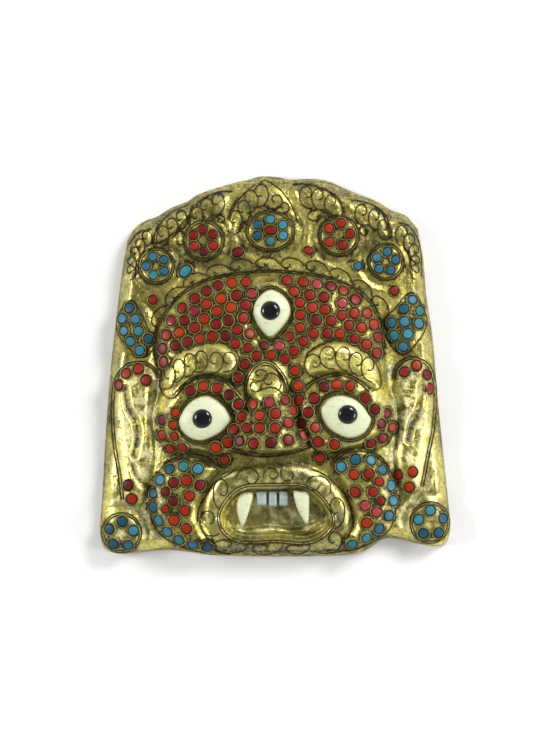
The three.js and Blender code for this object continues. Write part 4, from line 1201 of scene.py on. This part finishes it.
for region, matrices in collars.items():
    piece = copies(f"bezels_{region}", collar_mesh, matrices)
    paint(piece, "grime", np.full(len(piece.data.vertices), BEZEL_GRIME))
    show(piece, "brass_sheet", bezel_brass)
    # The dark discs under the stones are painted shade.
    show(copies(f"shade_disc_{region}", shade_disc_mesh, matrices), "brass_sheet", shade_disc_material)
print(len(stone_beds), "stones set")

# %% [markdown]
# ## Laying the wires
#
# A wire lies on the sheet and is soldered along its foot. Each path is lifted until its underside is just below the
# sheet's face and swept with a round section by a curve's bevel, which keeps hundreds of short wires cheap.

# %% Wires as curves
WIRE_RADIUS = 0.4
WIRE_LIFT = 0.3


def lay_wires(name, paths):
    curve = bpy.data.curves.new(name, "CURVE")
    curve.dimensions = "3D"
    curve.bevel_depth = WIRE_RADIUS * MM
    curve.bevel_resolution = 1
    curve.use_fill_caps = True
    for path in paths:
        ground = height(path[:, 0], path[:, 1]) + WIRE_LIFT
        points = np.column_stack([path * MM, ground * MM, np.ones(len(path))])
        spline = curve.splines.new("POLY")
        spline.points.add(len(points) - 1)
        spline.points.foreach_set("co", points.ravel())
    obj = bpy.data.objects.new(name, curve)
    bpy.context.scene.collection.objects.link(obj)
    return obj


for name, paths in wires.items():
    laid = lay_wires(name, paths)
    laid.data.materials.append(dark_wire)
    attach(laid, "root")
print(sum(len(p) for p in wires.values()), "wires laid")

# %% [markdown]
# ## The sheet
#
# The outer face is a fine grid mapped into the outline and raised by the forms; the inside face is a coarser grid a
# sheet's thickness behind it, and the two are joined along the flat turned hem that the mask lies on.
# A Solidify modifier could give the thickness, but it would not make the flat hem.

# %% Outer and inside faces
EDGE_STEPS_MM = [0, 0.25, 0.7, 1.4, 2.4, 3.6, 5.0, 6.5, 8.0]
SHEET_SIZE = (222, 240)
HEM = 3.4
STEEPEST = 3
OUTER_GRID = (264, 284)
INSIDE_GRID = (92, 100)


def shares(count, length, edge_steps):
    """Places from 0 to 1, close together where the sheet rolls over at either end."""
    edge = np.array(edge_steps) / length
    middle = np.linspace(edge[-1], 1 - edge[-1], count + 1 - 2 * (len(edge) - 1))
    return np.concatenate([edge[:-1], middle, (1 - edge[:-1])[::-1]])


def face_grid(columns, rows):
    bm = bmesh.new()
    bmesh.ops.create_grid(bm, x_segments=columns, y_segments=rows, size=0.5)
    mesh = bpy.data.meshes.new("face")
    bm.to_mesh(mesh)
    bm.free()
    return mesh


def raised(mesh, columns, rows, edge_steps, is_inside_face):
    flat = np.zeros(len(mesh.vertices) * 3)
    mesh.vertices.foreach_get("co", flat)
    flat = flat.reshape(-1, 3)
    column = np.round((flat[:, 0] + 0.5) * columns).astype(int)
    row = np.round((flat[:, 1] + 0.5) * rows).astype(int)
    across = shares(columns, SHEET_SIZE[0], edge_steps)[column]
    up = shares(rows, SHEET_SIZE[1], edge_steps)[row]
    on_edge = (column == 0) | (row == 0) | (column == columns) | (row == rows)
    if is_inside_face:
        hem = HEM / SHEET_SIZE[0], HEM / SHEET_SIZE[1]
        across = np.where(on_edge, np.clip(across, hem[0], 1 - hem[0]), across)
        up = np.where(on_edge, np.clip(up, hem[1], 1 - hem[1]), up)
    place = sheet_point(across, up)
    x, y = place[:, 0], place[:, 1]
    z = height(x, y)
    if is_inside_face:
        steep = np.minimum(np.hypot(*slopes(x, y)), STEEPEST)
        z = np.maximum(z - SHEET_THICK * np.sqrt(1 + steep**2), 0.3 * z)
    z = np.where(on_edge, 0, z)
    mesh.vertices.foreach_set("co", (np.column_stack([x, y, z]) * MM).ravel())
    mesh.update()
    return mesh, x, y, z, column, row


outer, sheet_x, sheet_y, sheet_z, sheet_column, sheet_row = raised(
    face_grid(*OUTER_GRID), *OUTER_GRID, EDGE_STEPS_MM, False)
inside, *_ = raised(face_grid(*INSIDE_GRID), *INSIDE_GRID, [0, 0.6, 2.2, 5, 9], True)
print(len(outer.polygons), "outer quads,", len(inside.polygons), "inside quads")

# %% [markdown]
# ## Where the dirt and painted shade lie
#
# Dirt gathers against wires, round bezels and in hollows, where shade is painted as well, and the folds of the ears
# get painted shade; a cloth keeps the high forms bright. Each vertex of the outer face is given a value of dirt and
# painted
# shade: near a wire, a collar or a fold of an ear, or lower than the metal round it. The crown and the chin are soiled
# more, the sheet is darker along its margin, and the ears, the lips and the mouth are cleaner and paler; on the ears
# that is painted light as well as wear.

# %% Dirt and painted shade on the sheet


def nearest(points, x, y):
    """Distance from each place to the nearest of the points, and which point that is."""
    tree = kdtree.KDTree(len(points))
    for index, point in enumerate(points):
        tree.insert((point[0], point[1], 0), index)
    tree.balance()
    found = [tree.find((a, b, 0)) for a, b in zip(x, y)]
    return np.array([item[2] for item in found]), np.array([item[1] for item in found])


def blurred(grid, width):
    """A box blur that holds the edge values."""
    for axis in (0, 1):
        padded = np.apply_along_axis(lambda line: np.pad(line, width, mode="edge"), axis, grid)
        total = np.cumsum(np.insert(padded, 0, 0, axis=axis), axis=axis)
        count = 2 * width + 1
        upper = np.take(total, range(count, total.shape[axis]), axis=axis)
        lower = np.take(total, range(0, total.shape[axis] - count), axis=axis)
        grid = (upper - lower) / count
    return grid


wire_points = np.vstack([path for paths in wires.values() for path in paths])
to_wire, _ = nearest(wire_points, sheet_x, sheet_y)
bed_points = np.array([spot for spot, _, _ in stone_beds])
to_stone, stone_index = nearest(bed_points, sheet_x, sheet_y)
to_stone = to_stone - np.array([radius for _, radius, _ in stone_beds])[stone_index]
stone_soil_and_shade = np.array([soil_and_shade for _, _, soil_and_shade in stone_beds])[stone_index]
fold_points = np.vstack([smooth_path(points, 40) for points in EAR_FOLDS])
to_fold, _ = nearest(fold_points, sheet_x, sheet_y)
grid_shape = (OUTER_GRID[1] + 1, OUTER_GRID[0] + 1)
levels = np.zeros(grid_shape)
levels[sheet_row, sheet_column] = sheet_z
hollow = sum(blurred(levels, width) - levels for width in (3, 8))
hollow = hollow[sheet_row, sheet_column]
REACH = {"wire": 0.7, "stone": 1.3, "fold": 2}
SOIL_AND_SHADE = {
    "everywhere": 0.22, "wire": 0.5, "fold": 0.42, "hollow": 0.26, "crown": 0.14, "margin": 0.28, "crown_margin": 0.26,
    "chin": 0.45,
}
# The ears are made cleaner and paler as painted light and wear; the mouth and the lips are made cleaner and paler.
RUBBED_AND_LIT = {"ears": 0.2, "mouth": 0.12, "lip": 0.15}
WEAR_AND_SHEEN = {"ears": 0.95, "mouth": 0.6, "lip": 0.4, "high": 0.35}
MOUTH_KEEPS = 0.6
WALL_WIDTH = 3
WALL_MOST = 0.62
INSIDE_GRIME = 0.6
# Dirt and painted shade at wire feet and round collars, and in hollows below.
grime = SOIL_AND_SHADE["wire"] * np.exp(-((to_wire / REACH["wire"]) ** 2))
grime = np.maximum(grime, stone_soil_and_shade * np.exp(-((np.clip(to_stone, 0, None) / REACH["stone"]) ** 2)))
# Along the folds of the ears the darkening is painted shade.
grime = np.maximum(grime, SOIL_AND_SHADE["fold"] * np.exp(-((to_fold / REACH["fold"]) ** 2)))
grime = grime + SOIL_AND_SHADE["hollow"] * np.clip(hollow / 1.2, -1, 1.5)
to_rim = distance_to(rim, sheet_x, sheet_y)
on_crown = ease((sheet_y - 58) / 10)
on_margin = 1 - ease((to_rim - 4) / 6)
on_chin = ease((-103 - sheet_y) / 8) * (np.abs(sheet_x) < 50)
on_ears = ease((np.abs(sheet_x) - 64) / 12) * ease((6 - sheet_y) / 8) * (1 - on_margin)
in_mouth = is_inside(smooth_path(MOUTH_RIM, 80, closed=True), sheet_x, sheet_y)
on_lip = is_inside(smooth_path(LIP_OUTER, 80, closed=True), sheet_x, sheet_y) & ~in_mouth & (sheet_y > -100)
grime = np.where(in_mouth, MOUTH_KEEPS * grime, grime) + SOIL_AND_SHADE["everywhere"]
# The crown and the chin are soiled more; along the margin the sheet is only made darker.
grime = grime + SOIL_AND_SHADE["crown"] * on_crown + (SOIL_AND_SHADE["margin"] + SOIL_AND_SHADE["crown_margin"] * on_crown) * on_margin
grime = grime + SOIL_AND_SHADE["chin"] * on_chin
grime = grime - RUBBED_AND_LIT["ears"] * on_ears - RUBBED_AND_LIT["mouth"] * in_mouth - RUBBED_AND_LIT["lip"] * on_lip
grime = np.clip(grime, 0, np.where(to_rim < WALL_WIDTH, WALL_MOST, 1))
worn = WEAR_AND_SHEEN["ears"] * on_ears + WEAR_AND_SHEEN["mouth"] * in_mouth + WEAR_AND_SHEEN["lip"] * on_lip
worn = np.clip(worn + WEAR_AND_SHEEN["high"] * np.clip(-hollow, 0, 1), 0, 1)
print("grime: mean", round(float(grime.mean()), 2))

# %% Join the faces along the hem
bm = bmesh.new()
bm.from_mesh(outer)
outer_faces = len(bm.faces)
bm.from_mesh(inside)
bm.faces.ensure_lookup_table()
bmesh.ops.reverse_faces(bm, faces=bm.faces[outer_faces:])
hem_edges = [edge for edge in bm.edges if edge.is_boundary]
bmesh.ops.bridge_loops(bm, edges=hem_edges)
bmesh.ops.recalc_face_normals(bm, faces=bm.faces)
sheet = mesh_piece("brass_sheet", bm)
for name, outer_values, inside_value in (("grime", grime, INSIDE_GRIME), ("worn", worn, 0)):
    values = np.full(len(sheet.data.vertices), float(inside_value))
    values[: len(outer_values)] = outer_values
    paint(sheet, name, values)
show(sheet, "brass_sheet", sheet_brass, ["mask_shell"])
print("sheet:", len(sheet.data.polygons), "faces")

# %% [markdown]
# ## Floor, light and camera
#
# The mask lies on its rim on a pale floor and is looked at from straight above. Polished brass shows mostly what it
# mirrors, so it lies in a tent: bright all round the horizon, with a dark opening overhead where the camera looks in.
# That is why level metal reads deep olive while every slope catches the light.

# %% Floor
floor_mesh = bmesh.new()
bmesh.ops.create_grid(floor_mesh, x_segments=1, y_segments=1, size=1.5)
floor = mesh_piece("floor", floor_mesh)
floor.location.z = -0.0002
floor_paint, _, floor_shader = new_material("matt white floor")
floor_shader.inputs["Base Color"].default_value = linear("#f4f4f4")
floor_shader.inputs["Roughness"].default_value = 0.9
floor.data.materials.append(floor_paint)

# %% Lights


def softbox(name, place, size, watts, colour="#ffffff"):
    """A square area light that faces the mask."""
    data = bpy.data.lights.new(name, "AREA")
    data.shape = "SQUARE"
    data.size = size
    data.energy = watts
    data.color = linear(colour)[:3]
    light = bpy.data.objects.new(name, data)
    light.location = place
    light.rotation_euler = (-Vector(place)).to_track_quat("-Z", "Y").to_euler()
    bpy.context.scene.collection.objects.link(light)
    return light


softbox("key softbox", (0.75, 0.70, 1.0), 0.45, 13)
softbox("left fill", (-1.0, 0.1, 0.75), 0.4, 8)
softbox("right fill", (1.1, -0.3, 0.7), 0.4, 6)
world = bpy.data.worlds.new("light tent")
world.use_nodes = True
world_tree = world.node_tree
direction = node(world_tree, "ShaderNodeTexCoord").outputs["Generated"]
upward = node(world_tree, "ShaderNodeSeparateXYZ", [(0, direction)]).outputs["Z"]
tent = node(world_tree, "ShaderNodeValToRGB", [("Fac", upward)])
for element, where, level in zip(tent.color_ramp.elements, (0.35, 0.92), (0.95, 0.16)):
    element.position = where
    element.color = (level, level, level, 1)
world_tree.links.new(tent.outputs[0], world_tree.nodes["Background"].inputs["Color"])
world_tree.nodes["Background"].inputs["Strength"].default_value = 0.8
bpy.context.scene.world = world
bpy.context.scene.view_settings.view_transform = "Standard"

# %% Camera
CAMERA_HEIGHT = 5.0
FRAME_HEIGHT = 0.463
LOOK_AT = (0.0, 0.0, 0.02)
SENSOR = 36
camera_data = bpy.data.cameras.new("camera")
camera_data.sensor_width = SENSOR
camera_data.lens = SENSOR * (CAMERA_HEIGHT - LOOK_AT[2]) / FRAME_HEIGHT
camera_data.clip_end = 10
camera = bpy.data.objects.new("camera", camera_data)
camera.location = (0, 0, CAMERA_HEIGHT)
bpy.context.scene.collection.objects.link(camera)
bpy.context.scene.camera = camera
